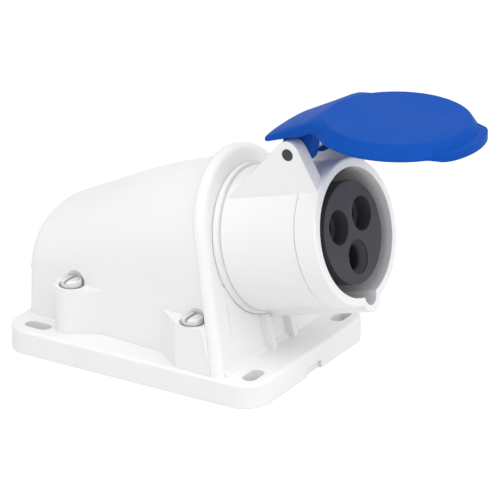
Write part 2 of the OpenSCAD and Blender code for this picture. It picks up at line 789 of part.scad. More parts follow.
module socket_collar() {
    color(white) at_flange() difference() {
        union() {
            rotate_extrude() {
                square([ring_r - fine_groove, ring_h]);
                translate([0, fine_groove]) square([ring_r, ring_h - fine_groove]);
                square([collar_r - fine_groove, collar_len - 1]);
                translate([0, ring_h + fine_groove])
                    square([collar_r, collar_len - band_l - ring_h - 2 * fine_groove]);
                translate([0, collar_len - band_l]) square([band_r, band_l - mouth_edge_r]);
                translate([0, collar_len - band_l]) square([band_r - mouth_edge_r, band_l]);
                translate([band_r - mouth_edge_r, collar_len - mouth_edge_r]) circle(mouth_edge_r);
            }
            translate([0, 0, -spigot_l]) cylinder(r = spigot_r, h = spigot_l + 1);
            translate([0, -bore_r, 0]) cylinder(r = key_bulge_r, h = collar_len);
            hinge_lugs();
        }
        translate([0, 0, floor_front]) cylinder(r = bore_r, h = far);
        translate([0, 0, -spigot_l - 1]) cylinder(r = cavity_r, h = spigot_l + 1 + floor_back);
        translate([0, 0, floor_back - 1]) cylinder(r = core_r + slide_gap, h = far);
        translate([0, -bore_r, floor_front]) cylinder(r = key_r, h = far);
        translate([0, 0, -1]) difference() {
            cylinder(r = spigot_r + collar_seal_w + spigot_gap, h = collar_seal_t + 1);
            cylinder(r = spigot_r, h = far, center = true);
        }
        for (s = [-1, 1]) translate([s * carrier_screw_at, 0, floor_back - 1])
            cylinder(r = carrier_screw_r + thread_gap, h = floor_t);
        translate([0, hinge_rise, hinge_z]) rotate([0, 90, 0])
            cylinder(r = pin_r + seam, h = far, center = true);
    }
}

module collar_seal() {
    color(rubber) at_flange() difference() {
        cylinder(r = spigot_r + collar_seal_w + spigot_gap, h = collar_seal_t);
        translate([0, 0, -1]) cylinder(r = spigot_r + spigot_gap, h = collar_seal_t + 2);
    }
}

module collar_nut() {
    color(dark) at_flange() translate([0, 0, -flange_t - nut_t]) difference() {
        cylinder(r = nut_r, h = nut_t);
        translate([0, 0, -1]) cylinder(r = spigot_r + slide_gap, h = nut_t + 2);
        for (a = [0 : 60 : 300]) rotate([0, 0, a]) translate([nut_r - 1, -nut_notch / 2, -1])
            cube([4, nut_notch, nut_t]);
    }
}

// Places children on the three contacts' axes, with +x pointing away from the socket axis.
module at_contact(angle) {
    at_flange() rotate([0, 0, angle]) translate([contact_pitch_r, 0, 0]) children();
}

module contact_carrier() {
    color(dark) difference() {
        at_flange() union() {
            translate([0, 0, -carrier_back]) cylinder(r = core_r, h = core_front + carrier_back);
            translate([0, 0, floor_back - carrier_flange_t])
                cylinder(r = cavity_r - slide_gap, h = carrier_flange_t);
        }
        for (a = contact_angles) at_contact(a) {
            translate([0, 0, core_front - well_d]) cylinder(r = well_r, h = well_d + 1);
            translate([0, 0, -carrier_back - 1]) cylinder(r = tube_r + slide_gap, h = far);
        }
        at_flange() for (s = [-1, 1]) translate([s * carrier_screw_at, 0, floor_back - carrier_flange_t - 1])
            cylinder(r = carrier_screw_r + shank_gap, h = carrier_flange_t + 2);
        at_flange() for (s = [-1, 1]) translate([s * carrier_screw_at, 0, -carrier_back - 1])
            cylinder(r = carrier_head_r + shank_gap, h = carrier_back + 1 + floor_back - carrier_flange_t);
    }
}

module carrier_screws() {
    color(steel) at_flange() for (s = [-1, 1])
        translate([s * carrier_screw_at, 0, floor_back - carrier_flange_t]) rotate([180, 0, 0])
            pan_screw(carrier_screw_r, carrier_flange_t + floor_t - 1.5, carrier_head_r, carrier_head_h);
}

// Contact tube with its stop ring and screw terminal.
module contact(front, bore) {
    tail = -carrier_back - terminal_l;
    difference() {
        union() {
            translate([0, 0, tail]) cylinder(r = tube_r, h = front - tail);
            translate([0, 0, -carrier_back - stop_ring_t]) cylinder(r = stop_ring_r, h = stop_ring_t);
        }
        translate([0, 0, front - contact_bore_d]) cylinder(r = bore, h = contact_bore_d + 1);
        translate([-far, -slit_w / 2, front - slit_l]) cube([far, slit_w, slit_l + 1]);
        translate([0, 0, tail - 1]) cylinder(r = wire_hole_r, h = terminal_l - stop_ring_t + 1);
        translate([0, 0, tail + terminal_l / 2 - 1]) rotate([0, 90, 0])
            cylinder(r = terminal_screw_r + thread_gap, h = far);
    }
}

module line_contact() {
    color(brass) at_contact(contact_angles[0]) contact(live_front, live_bore_r);
}

module neutral_contact() {
    color(brass) at_contact(contact_angles[1]) contact(live_front, live_bore_r);
}

module earth_contact() {
    color(brass) at_contact(contact_angles[2]) contact(earth_front, earth_bore_r);
}

// Open spring ring that presses a slit contact tube together.
module clip_ring() {
    difference() {
        cylinder(r = tube_r + slide_gap / 2 + clip_t, h = clip_w);
        translate([0, 0, -1]) cylinder(r = tube_r + slide_gap / 2, h = clip_w + 2);
        translate([0, -tube_r / 2, -1]) cube([far, tube_r, clip_w + 2]);
    }
}

module contact_clips() {
    color(steel) {
        for (i = [0, 1]) at_contact(contact_angles[i]) translate([0, 0, core_front - well_d]) clip_ring();
        at_contact(contact_angles[2]) translate([0, 0, core_front - well_d]) clip_ring();
    }
}

module terminal_screws() {
    color(steel) for (a = contact_angles) at_contact(a)
        translate([tube_r, 0, -carrier_back - terminal_l / 2 - 1]) rotate([0, 90, 0])
            pan_screw(terminal_screw_r, tube_r - wire_hole_r + 0.6, terminal_head_r, terminal_head_h);
}

// Revolved section of the lid, with z = 0 on the mouth plane: a rounded top and a side that slopes out.
module lid_section() {
    edge = [lid_top_r - lid_edge_r, lid_h - lid_edge_r];
    foot = [lid_rim_r, lid_rim_h];
    wall = foot - edge;
    wall_a = atan2(wall[1], wall[0]) + acos(lid_edge_r / norm(wall));
    difference() {
        union() {
            square([edge[0], lid_h]);
            translate(edge) circle(lid_edge_r);
            polygon([[0, lid_gap], [lid_rim_r, lid_gap], foot,
                edge + lid_edge_r * [cos(wall_a), sin(wall_a)], edge, [0, edge[1]]]);
        }
        translate([-1, -1]) square([lid_cavity_r + 1, lid_h - lid_skin + 1]);
    }
}

// Part of a ring within the tab's angle, from z = 0 up.
module tab_arc(inner, height) {
    intersection() {
        difference() {
            cylinder(r = tab_r, h = height);
            translate([0, 0, -1]) cylinder(r = inner, h = height + 2);
        }
        translate([0, 0, -1]) linear_extrude(height + 2)
            polygon([[0, 0], far * [sin(tab_half), -cos(tab_half)], [0, -2 * far],
                far * [-sin(tab_half), -cos(tab_half)]]);
    }
}

// Wide lip at the front of the lid, with round ends and an edge that hangs down for the finger.
module thumb_tab() {
    end_r = (tab_r - lid_rim_r) / 2 + 0.4;
    lip_in = bore_r + key_bulge_r + 0.5;
    translate([0, 0, lid_gap]) {
        tab_arc(lid_rim_r - 0.8, tab_t);
        both_sides() rotate([0, 0, tab_half]) translate([0, end_r + 3 * seam - tab_r, 0])
            cylinder(r = end_r, h = tab_t);
        translate([0, 0, -tab_drop]) tab_arc(lip_in, tab_drop + tab_t / 2);
    }
}

// Sections of the hood over the hinge: y is away from the lid, z is out of the mouth, 0 on the pin.
hood_start = lid_top_r - hinge_rise - 10;
hood_soft = 1;
hood_squareness = 4;
hood_neck_squareness = 6;
hood_end_r = 1.2;
hood_steps = 14;
hood_points = 40;
function hood_end_shift(y, r) =
    let (d = clamp_to(y - hood_back + r, 0, r))
    r - sqrt(r * r - d * d);
function hood_half(y) =
    lug_out + hood_flare * clamp_to(1.2 * y / hood_start, 0, 1) - hood_end_shift(y, hood_corner_r);
function hood_top(y) = soft_min(hinge_back + lid_h - seam, hood_top_z - hood_fall * y, hood_soft);
function hood_under(y) =
    min(max(lug_r + hood_gap - 0.31 * y, lug_r - 0.3 - 0.61 * y), hinge_back + lid_gap);
function hood_section(y) =
    let (half = hood_half(y), round = hood_end_shift(y, hood_end_r) * 0.8)
    let (share = sqrt((y - hood_start) / (hood_back - hood_start)))
    let (p = 2 / (hood_neck_squareness + (hood_squareness - hood_neck_squareness) * share))
    let (top = hood_top(y) - round, under = hood_under(y) + round)
    [for (i = [0 : hood_points - 1])
        let (a = 360 * i / hood_points, x = half * signed_pow(cos(a), p))
        let (z = (top + under) / 2 + (top - under) / 2 * signed_pow(sin(a), p))
        [x, y, z - hood_crown * share * pow(x / lug_out, 2)]];
hood_stations = concat(
    [for (i = [0 : hood_steps]) hood_start + (hood_back - hood_corner_r - hood_start) * i / hood_steps],
    [for (i = [1 : edge_steps]) hood_back - hood_corner_r + hood_corner_r * sin(90 * i / edge_steps)]);

// Side view of a hinge knuckle and the web that joins it to the hood.
module knuckle_outline() {
    circle(knuckle_r);
    polygon([[-knuckle_r, 0], [knuckle_r, 0], [knuckle_r - 0.6, lug_r + 1.2],
        [-knuckle_r - 1.6, hinge_back + lid_gap + 0.6], [-knuckle_r - 0.8, lug_r]]);
}

module lid() {
    color(blue) at_lid() difference() {
        union() {
            translate([0, -hinge_rise, hinge_back]) {
                rotate_extrude() lid_section();
                thumb_tab();
            }
            loft([for (y = hood_stations) hood_section(y)]);
            both_sides() translate([spring_half, 0, 0]) rotate([90, 0, 90])
                linear_extrude(knuckle_half - spring_half) knuckle_outline();
        }
        rotate([0, 90, 0]) cylinder(r = pin_r + pin_play, h = far, center = true);
        translate([0, -hinge_rise, hinge_back - 1]) cylinder(r = lid_cavity_r, h = lid_h - lid_skin + 1);
    }
}

// Ring under the lid that closes on the mouth of the collar.
module lid_seal() {
    thick = lid_h - lid_skin - lid_seal_gap;
    color(rubber) at_lid() translate([0, -hinge_rise, hinge_back + lid_seal_gap]) difference() {
        cylinder(r = band_r, h = thick);
        translate([0, 0, -1]) cylinder(r = band_r - lid_seal_w, h = thick + 2);
    }
}

module hinge_pin() {
    color(dark) at_flange() translate([-lug_out, hinge_rise, hinge_z]) rotate([0, 90, 0])
        cylinder(r = pin_r, h = 2 * lug_out);
}

// Path of the spring's wire round the pin, from the leg on the collar to the short leg under the hood.
spring_span = spring_half - wire_r - 0.2;
coil_steps = 16 * spring_turns;
function coil_point(i) =
    let (a = 360 * spring_turns * i / coil_steps)
    [-spring_span + 2 * spring_span * i / coil_steps, -coil_r * sin(a), -coil_r * cos(a)];
leg_end_y = collar_r + wire_r + 0.1 - hinge_rise;
spring_path = concat(
    [[-spring_span, leg_end_y, -coil_r]],
    [for (i = [0 : coil_steps]) coil_point(i)],
    [[spring_span, -coil_r * 0.9, -coil_r]]);

// Round wire along a path whose points lie mostly across X.
module wire(path, r) {
    n = 8;
    ring = function (i)
        let (a = path[max(i - 1, 0)], b = path[min(i + 1, len(path) - 1)])
        let (t = (b - a) / norm(b - a), u = cross(t, [1, 0, 0]) / norm(cross(t, [1, 0, 0])), v = cross(t, u))
        [for (k = [0 : n - 1]) path[i] + r * (u * cos(360 * k / n) + v * sin(360 * k / n))];
    loft([for (i = [0 : len(path) - 1]) ring(i)]);
}

module lid_spring() {
    color(steel) at_flange() translate([0, hinge_rise, hinge_z]) wire(spring_path, wire_r);
}

mounting_base();
rear_cover();
cover_seal();
cover_screws();
cable_grommet();
clamp_saddle();
clamp_screws();
socket_collar();
collar_seal();
collar_nut();
contact_carrier();
carrier_screws();
line_contact();
neutral_contact();
earth_contact();
contact_clips();
terminal_screws();
lid();
lid_seal();
hinge_pin();
lid_spring();
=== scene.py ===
"""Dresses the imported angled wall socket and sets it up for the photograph's view.

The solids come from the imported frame. This script gives every piece its surface, rebuilds the turned,
wound and repeated pieces as finer meshes, and sets up the floor, the light and the camera.
"""

import logging
import math
from collections.abc import Callable, Mapping, Sequence
from dataclasses import dataclass
from enum import Enum
from typing import Any

import bmesh
import bpy
from mathutils import Matrix, Vector


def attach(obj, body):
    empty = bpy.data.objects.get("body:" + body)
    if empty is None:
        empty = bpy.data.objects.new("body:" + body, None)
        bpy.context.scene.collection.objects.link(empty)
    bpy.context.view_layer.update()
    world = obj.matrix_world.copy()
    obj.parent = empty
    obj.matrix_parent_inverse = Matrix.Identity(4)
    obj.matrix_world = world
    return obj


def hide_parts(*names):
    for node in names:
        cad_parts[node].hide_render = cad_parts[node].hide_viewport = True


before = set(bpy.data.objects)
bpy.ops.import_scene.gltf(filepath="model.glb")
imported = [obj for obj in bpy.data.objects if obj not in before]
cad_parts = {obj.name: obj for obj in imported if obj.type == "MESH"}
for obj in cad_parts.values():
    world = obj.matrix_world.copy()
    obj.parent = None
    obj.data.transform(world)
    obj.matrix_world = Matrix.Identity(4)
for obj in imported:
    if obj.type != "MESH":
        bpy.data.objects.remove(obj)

MM = 0.001
SIDES = (-1, 1)  # the part's two sides, -X and +X
SHARP_ANGLE = math.radians(32)  # edges that turn more than this stay sharp
WELD = 0.0001 * MM  # corners of a solid's copy closer than this are one
SLOT_WELD = 0.001 * MM  # the same for the corners that cutting a screw's slot leaves
SHANK_LAP = 0.2  # how far a screw's shank reaches into its head, in mm
NOISE_LOW, NOISE_HIGH = 0.3, 0.7  # values that a noise texture mostly keeps to
WAVE_FACTOR = 20  # the wave texture multiplies its coordinates by this
log = logging.getLogger("socket")


class Body(Enum):
    """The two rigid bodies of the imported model."""

    SOCKET = "socket"
    LID = "lid"


def srgb(code: str) -> tuple[float, float, float, float]:
    """Turns an sRGB hex colour into linear RGBA.

    Args:
        code: Six hex digits with a leading hash.

    Returns:
        Linear red, green, blue and an alpha of 1.
    """
    parts = [int(code[i : i + 2], 16) / 255 for i in (1, 3, 5)]
    red, green, blue = (c / 12.92 if c <= 0.04045 else ((c + 0.055) / 1.055) ** 2.4 for c in parts)
    return red, green, blue, 1.0


def add_node(
    tree: bpy.types.NodeTree,
    kind: str,
    settings: Mapping[str, Any] | None = None,
    inputs: Mapping[str | int, Any] | None = None,
) -> bpy.types.Node:
    """Adds a node, sets its properties and fills its inputs.

    Args:
        tree: Tree that gets the node.
        kind: Blender's type name of the node.
        settings: Property names with their values.
        inputs: Input names or numbers, each with an output socket to link or a plain value.

    Returns:
        The new node.
    """
    node = tree.nodes.new(kind)
    for key, value in (settings or {}).items():
        setattr(node, key, value)
    for key, value in (inputs or {}).items():
        if isinstance(value, bpy.types.NodeSocket):
            tree.links.new(value, node.inputs[key])
        else:
            node.inputs[key].default_value = value
    return node


def per_mm(size_mm: float) -> float:
    """Texture scale at which one cell of a pattern is size_mm wide on Object coordinates."""
    return 1 / (size_mm * MM)


@dataclass(frozen=True)
class Finish:
    """A surface with one base colour, faint drift in colour and gloss, and a fine relief.

    Attributes:
        name: Real material and how its surface was made.
        slot: Its material slot, not used.
        colour: sRGB hex of the surface.
        drift: sRGB hex that the colour drifts towards in patches.
        roughness: Middle roughness.
        roughness_span: How far the roughness strays to each side.
        patch_mm: Size of the patches.
        grain_mm: Size of the relief's grain.
        grain_depth_mm: Depth of the relief.
        metallic: 1 for bare metal.
        edge_mm: Radius to which sharp edges are softened.
        specular: Strength of the mirror-like part, 0.5 for bare plastic.
    """

    name: str
    slot: str
    colour: str
    drift: str
    roughness: float
    roughness_span: float
    patch_mm: float
    grain_mm: float
    grain_depth_mm: float
    metallic: float = 0.0
    edge_mm: float = 0.25
    specular: float = 0.5

    def relief(self, tree: bpy.types.NodeTree, coords: bpy.types.NodeSocket) -> bpy.types.NodeSocket:
        """Height pattern of the surface, here an even spark-eroded grain.

        Args:
            tree: Material tree that gets the nodes.
            coords: Object coordinates.

        Returns:
            Height from 0 to 1.
        """
        grain = add_node(
            tree, "ShaderNodeTexNoise", {}, {"Vector": coords, "Scale": per_mm(self.grain_mm), "Detail": 2.0}
        )
        return grain.outputs["Fac"]

    def material(self) -> bpy.types.Material:
        """Builds the material once, and hands out the same one after that."""
        made = bpy.data.materials.get(self.name)
        if made:
            return made
        made = bpy.data.materials.new(self.name)
        made.use_nodes = True
        tree = made.node_tree
        tree.nodes.clear()
        coords = add_node(tree, "ShaderNodeTexCoord").outputs["Object"]
        patches = add_node(
            tree, "ShaderNodeTexNoise", {}, {"Vector": coords, "Scale": per_mm(self.patch_mm), "Detail": 3.0}
        ).outputs["Fac"]
        colour = add_node(
            tree,
            "ShaderNodeMix",
            {"data_type": "RGBA"},
            {"Factor": patches, 6: srgb(self.colour), 7: srgb(self.drift)},
        ).outputs[2]
        gloss = add_node(
            tree,
            "ShaderNodeMapRange",
            {},
            {
                "Value": patches,
                "From Min": NOISE_LOW,
                "From Max": NOISE_HIGH,
                "To Min": self.roughness - self.roughness_span,
                "To Max": self.roughness + self.roughness_span,
            },
        ).outputs["Result"]
        soft = add_node(
            tree, "ShaderNodeBevel", {"samples": 6}, {"Radius": self.edge_mm * MM}
        ).outputs["Normal"]
        bump = add_node(
            tree,
            "ShaderNodeBump",
            {},
            {
                "Height": self.relief(tree, coords),
                "Strength": 1.0,
                "Distance": self.grain_depth_mm * MM,
                "Normal": soft,
            },
        ).outputs["Normal"]
        shader = add_node(
            tree,
            "ShaderNodeBsdfPrincipled",
            {},
            {
                "Base Color": colour,
                "Roughness": gloss,
                "Normal": bump,
                "Metallic": self.metallic,
                "Specular IOR Level": self.specular,
            },
        )
        add_node(tree, "ShaderNodeOutputMaterial", {}, {"Surface": shader.outputs["BSDF"]})
        return made


@dataclass(frozen=True)
class TurnedFinish(Finish):
    """A metal surface with fine rings from turning.

    Attributes:
        axis: Number of the object axis along which ring follows ring.
    """

    axis: int = 1

    def relief(self, tree: bpy.types.NodeTree, coords: bpy.types.NodeSocket) -> bpy.types.NodeSocket:
        """Height pattern of fine tool rings.

        Args:
            tree: Material tree that gets the nodes.
            coords: Object coordinates.

        Returns:
            Height from 0 to 1.
        """
        scale = per_mm(self.grain_mm) / WAVE_FACTOR
        rings = add_node(
            tree,
            "ShaderNodeTexWave",
            {"wave_type": "BANDS", "bands_direction": "XYZ"[self.axis]},
            {"Vector": coords, "Scale": scale, "Distortion": 1.5, "Detail": 2.0},
        )
        return rings.outputs["Fac"]


# Real grain and tool rings are finer than 0.3 mm. They are drawn a little coarser here, so that they show.

# Polyamide from a spark-eroded mould: a bright, even, half-matt white whose grain breaks the highlights.
WHITE = Finish(
    name="polyamide_white_moulded",
    slot="white_polyamide",
    colour="#F1F1F0",
    drift="#EDEDED",
    roughness=0.36,
    roughness_span=0.05,
    patch_mm=26,
    grain_mm=0.5,
    grain_depth_mm=0.012,
    edge_mm=0.5,
)
# The same plastic dyed in the mass: a deep, dry blue that hardly mirrors.
BLUE = Finish(
    name="polyamide_blue_moulded",
    slot="blue_polyamide",
    colour="#124DAC",
    drift="#1651AE",
    roughness=0.46,
    roughness_span=0.05,
    patch_mm=22,
    grain_mm=0.45,
    grain_depth_mm=0.010,
    specular=0.03,
)
# Glass-filled polyamide: dull and dark, because the fibres reach the surface.
DARK = Finish(
    name="polyamide_dark_glass_filled",
    slot="dark_polyamide",
    colour="#4B4950",
    drift="#464449",
    roughness=0.55,
    roughness_span=0.06,
    patch_mm=9,
    grain_mm=0.4,
    grain_depth_mm=0.016,
    specular=0.1,
)
# Turned brass: a warm yellow, with fine tool rings along the contact.
BRASS = TurnedFinish(
    name="brass_turned",
    slot="contact_brass",
    colour="#C9A55A",
    drift="#B9934A",
    roughness=0.30,
    roughness_span=0.06,
    patch_mm=5,
    grain_mm=0.5,
    grain_depth_mm=0.004,
    metallic=1.0,
    edge_mm=0.1,
)
# Steel with clear zinc plating: a pale grey with a faint cloudiness.
ZINC = Finish(
    name="steel_zinc_plated",
    slot="zinc_steel",
    colour="#E9EAEB",
    drift="#DEDFE1",
    roughness=0.55,
    roughness_span=0.10,
    patch_mm=1.8,
    grain_mm=0.35,
    grain_depth_mm=0.004,
    metallic=1.0,
    edge_mm=0.12,
)
# Blackened steel: dark, dry and a little uneven.
BLACKENED = Finish(
    name="steel_blackened",
    slot="pin_steel",
    colour="#47494B",
    drift="#3E4042",
    roughness=0.50,
    roughness_span=0.08,
    patch_mm=1.5,
    grain_mm=0.3,
    grain_depth_mm=0.004,
    metallic=0.6,
    edge_mm=0.12,
)
# Black moulded nitrile rubber with a dusty bloom.
SEAL = Finish(
    name="nitrile_rubber_moulded",
    slot="seal_rubber",
    colour="#2B2C2E",
    drift="#353638",
    roughness=0.70,
    roughness_span=0.08,
    patch_mm=6,
    grain_mm=0.4,
    grain_depth_mm=0.02,
)
# Grey thermoplastic rubber, soft and dull.
GREY_RUBBER = Finish(
    name="grey_rubber_moulded",
    slot="grey_rubber",
    colour="#8E8F90",
    drift="#868788",
    roughness=0.62,
    roughness_span=0.06,
    patch_mm=6,
    grain_mm=0.5,
    grain_depth_mm=0.02,
)


def add_object(name: str, data: bpy.types.ID) -> bpy.types.Object:
    """Adds an object at the origin to the scene.

    Args:
        name: Name of the object.
        data: The mesh, curve, lamp or camera that it carries.

    Returns:
        The new object.
    """
    made = bpy.data.objects.new(name, data)
    bpy.context.scene.collection.objects.link(made)
    return made


def shade(mesh: bpy.types.Mesh) -> None:
    """Shades a mesh smooth and keeps its clear edges sharp."""
    mesh.shade_smooth()
    mesh.set_sharp_from_angle(angle=SHARP_ANGLE)


def settle(piece: bpy.types.Object, finish: Finish, body: Body, nodes: Sequence[str] = ()) -> None:
    """Gives a piece its finish and its body, and hides the solids that it stands for.

    Args:
        piece: The piece, in place.
        finish: Its surface.
        body: The body that carries it.
        nodes: Solids that it replaces.
    """
    piece.data.materials.clear()
    piece.data.materials.append(finish.material())
    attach(piece, body.value)
    if nodes:
        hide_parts(*nodes)
    log.info("%s rides on %s, %d faces", piece.name, body.value, len(piece.data.polygons))


def even_normals(piece: bpy.types.Object) -> None:
    """Lets the large faces at each corner set its shading, so that thin facets leave no streaks.

    Args:
        piece: Piece with its sharp edges marked, which gets its own normals in its mesh.
    """
    rule = piece.modifiers.new("even_normals", "WEIGHTED_NORMAL")
    rule.mode = "FACE_AREA_WITH_ANGLE"
    rule.keep_sharp = True
    graph = bpy.context.evaluated_depsgraph_get()
    mesh = bpy.data.meshes.new_from_object(piece.evaluated_get(graph), depsgraph=graph)
    old = piece.data
    piece.modifiers.clear()
    piece.data = mesh
    bpy.data.meshes.remove(old)
    mesh.name = piece.name


def smooth_copy(
    node: str, finish: Finish, body: Body, reshape: Callable[[bpy.types.Mesh], None] | None = None
) -> None:
    """Replaces a solid by a welded copy of it with smooth shading.

    Args:
        node: Name of the solid.
        finish: Its surface.
        body: The body that carries it.
        reshape: Moves corners of the copy before it is shaded.
    """
    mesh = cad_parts[node].data.copy()
    mesh.name = node + "_skin"
    if mesh.has_custom_normals:
        mesh.attributes.remove(mesh.attributes["custom_normal"])
    work = bmesh.new()
    work.from_mesh(mesh)
    bmesh.ops.remove_doubles(work, verts=work.verts, dist=WELD)
    work.to_mesh(mesh)
    work.free()
    if reshape:
        reshape(mesh)
    shade(mesh)
    piece = add_object(node + "_skin", mesh)
    even_normals(piece)
    settle(piece, finish, body, [node])


def dress(node: str, finish: Finish) -> None:
    """Gives its finish to a solid that stays as it is.

    Args:
        node: Name of the solid.
        finish: Its surface.
    """
    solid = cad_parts[node]
    solid.data.materials.clear()
    solid.data.materials.append(finish.material())
    log.info("%s keeps its solid", node)


def revolve(
    name: str, profile: Sequence[tuple[float, float]], place: Matrix, steps: int = 72
) -> bpy.types.Object:
    """Turns a closed profile about the local z axis.

    Args:
        name: Name of the piece.
        profile: Closed loop of radius and height in mm.
        place: Where the local axis lies, in metres.
        steps: Number of steps round.

    Returns:
        The new piece.
    """
    work = bmesh.new()
    rings = []
    for step in range(steps):
        turn = 2 * math.pi * step / steps
        rings.append(
            [work.verts.new((r * MM * math.cos(turn), r * MM * math.sin(turn), z * MM)) for r, z in profile]
        )
    count = len(profile)
    for step in range(steps):
        here, there = rings[step], rings[(step + 1) % steps]
        for i in range(count):
            j = (i + 1) % count
            work.faces.new((here[i], there[i], there[j], here[j]))
    bmesh.ops.recalc_face_normals(work, faces=work.faces)
    mesh = bpy.data.meshes.new(name)
    work.to_mesh(mesh)
    work.free()
    mesh.transform(place)
    shade(mesh)
    return add_object(name, mesh)


def frozen(piece: bpy.types.Object, tree: bpy.types.NodeTree, values: Mapping[str, Any]) -> bpy.types.Object:
    """Runs a Geometry Nodes tree on an object and keeps the result as a plain mesh.

    Args:
        piece: Object that the tree starts from.
        tree: The tree.
        values: Values for its named inputs.

    Returns:
        A new piece with the resulting mesh.
    """
    modifier = piece.modifiers.new("shape", "NODES")
    modifier.node_group = tree
    sockets = {s.name: s.identifier for s in tree.interface.items_tree if s.in_out == "INPUT"}
    for name, value in values.items():
        modifier[sockets[name]] = value
    piece.update_tag()
    graph = bpy.context.evaluated_depsgraph_get()
    mesh = bpy.data.meshes.new_from_object(piece.evaluated_get(graph))
    name = piece.name
    piece.modifiers.remove(modifier)
    bpy.data.objects.remove(piece)
    mesh.name = name
    shade(mesh)
    return add_object(name, mesh)


def new_tree(name: str, sizes: Mapping[str, float]) -> tuple[bpy.types.NodeTree, bpy.types.Node]:
    """Starts a Geometry Nodes tree with named sizes and a material.

    Args:
        name: Name of the tree.
        sizes: Names and default values of its inputs, in metres or plain numbers.

    Returns:
        The tree and its input node.
    """
    tree = bpy.data.node_groups.new(name, "GeometryNodeTree")
    tree.interface.new_socket("Geometry", in_out="INPUT", socket_type="NodeSocketGeometry")
    for size, value in sizes.items():
        tree.interface.new_socket(size, in_out="INPUT", socket_type="NodeSocketFloat").default_value = value
    tree.interface.new_socket("Material", in_out="INPUT", socket_type="NodeSocketMaterial")
    tree.interface.new_socket("Geometry", in_out="OUTPUT", socket_type="NodeSocketGeometry")
    return tree, add_node(tree, "NodeGroupInput")


def end_tree(tree: bpy.types.NodeTree, start: bpy.types.Node, shape: bpy.types.NodeSocket) -> None:
    """Ends a tree with real geometry that carries its material.

    Args:
        tree: The tree.
        start: Its input node.
        shape: Geometry, with or without instances.
    """
    real = add_node(tree, "GeometryNodeRealizeInstances", {}, {"Geometry": shape})
    painted = add_node(
        tree,
        "GeometryNodeSetMaterial",
        {},
        {"Geometry": real.outputs["Geometry"], "Material": start.outputs["Material"]},
    )
    add_node(tree, "NodeGroupOutput", {}, {"Geometry": painted.outputs["Geometry"]})


def lifted(tree: bpy.types.NodeTree, shape: bpy.types.NodeSocket, rise: Any) -> bpy.types.NodeSocket:
    """Lifts geometry along z, by a plain value or by a socket's, and returns it."""
    shift = add_node(tree, "ShaderNodeCombineXYZ", {}, {"Z": rise}).outputs[0]
    return add_node(tree, "GeometryNodeTransform", {}, {"Geometry": shape, "Translation": shift}).outputs[0]


def on_points(
    tree: bpy.types.NodeTree, start: bpy.types.Node, shape: bpy.types.NodeSocket
) -> bpy.types.NodeSocket:
    """Puts a copy of a shape on each point, turned as the point's turn attribute says.

    Args:
        tree: The tree.
        start: Its input node, which brings the points.
        shape: The shape.

    Returns:
        The copies, as instances.
    """
    turn = add_node(
        tree, "GeometryNodeInputNamedAttribute", {"data_type": "FLOAT_VECTOR"}, {"Name": "turn"}
    ).outputs["Attribute"]
    spin = add_node(tree, "FunctionNodeEulerToRotation", {}, {"Euler": turn}).outputs[0]
    placed = add_node(
        tree,
        "GeometryNodeInstanceOnPoints",
        {},
        {"Points": start.outputs["Geometry"], "Instance": shape, "Rotation": spin},
    )
    return placed.outputs["Instances"]


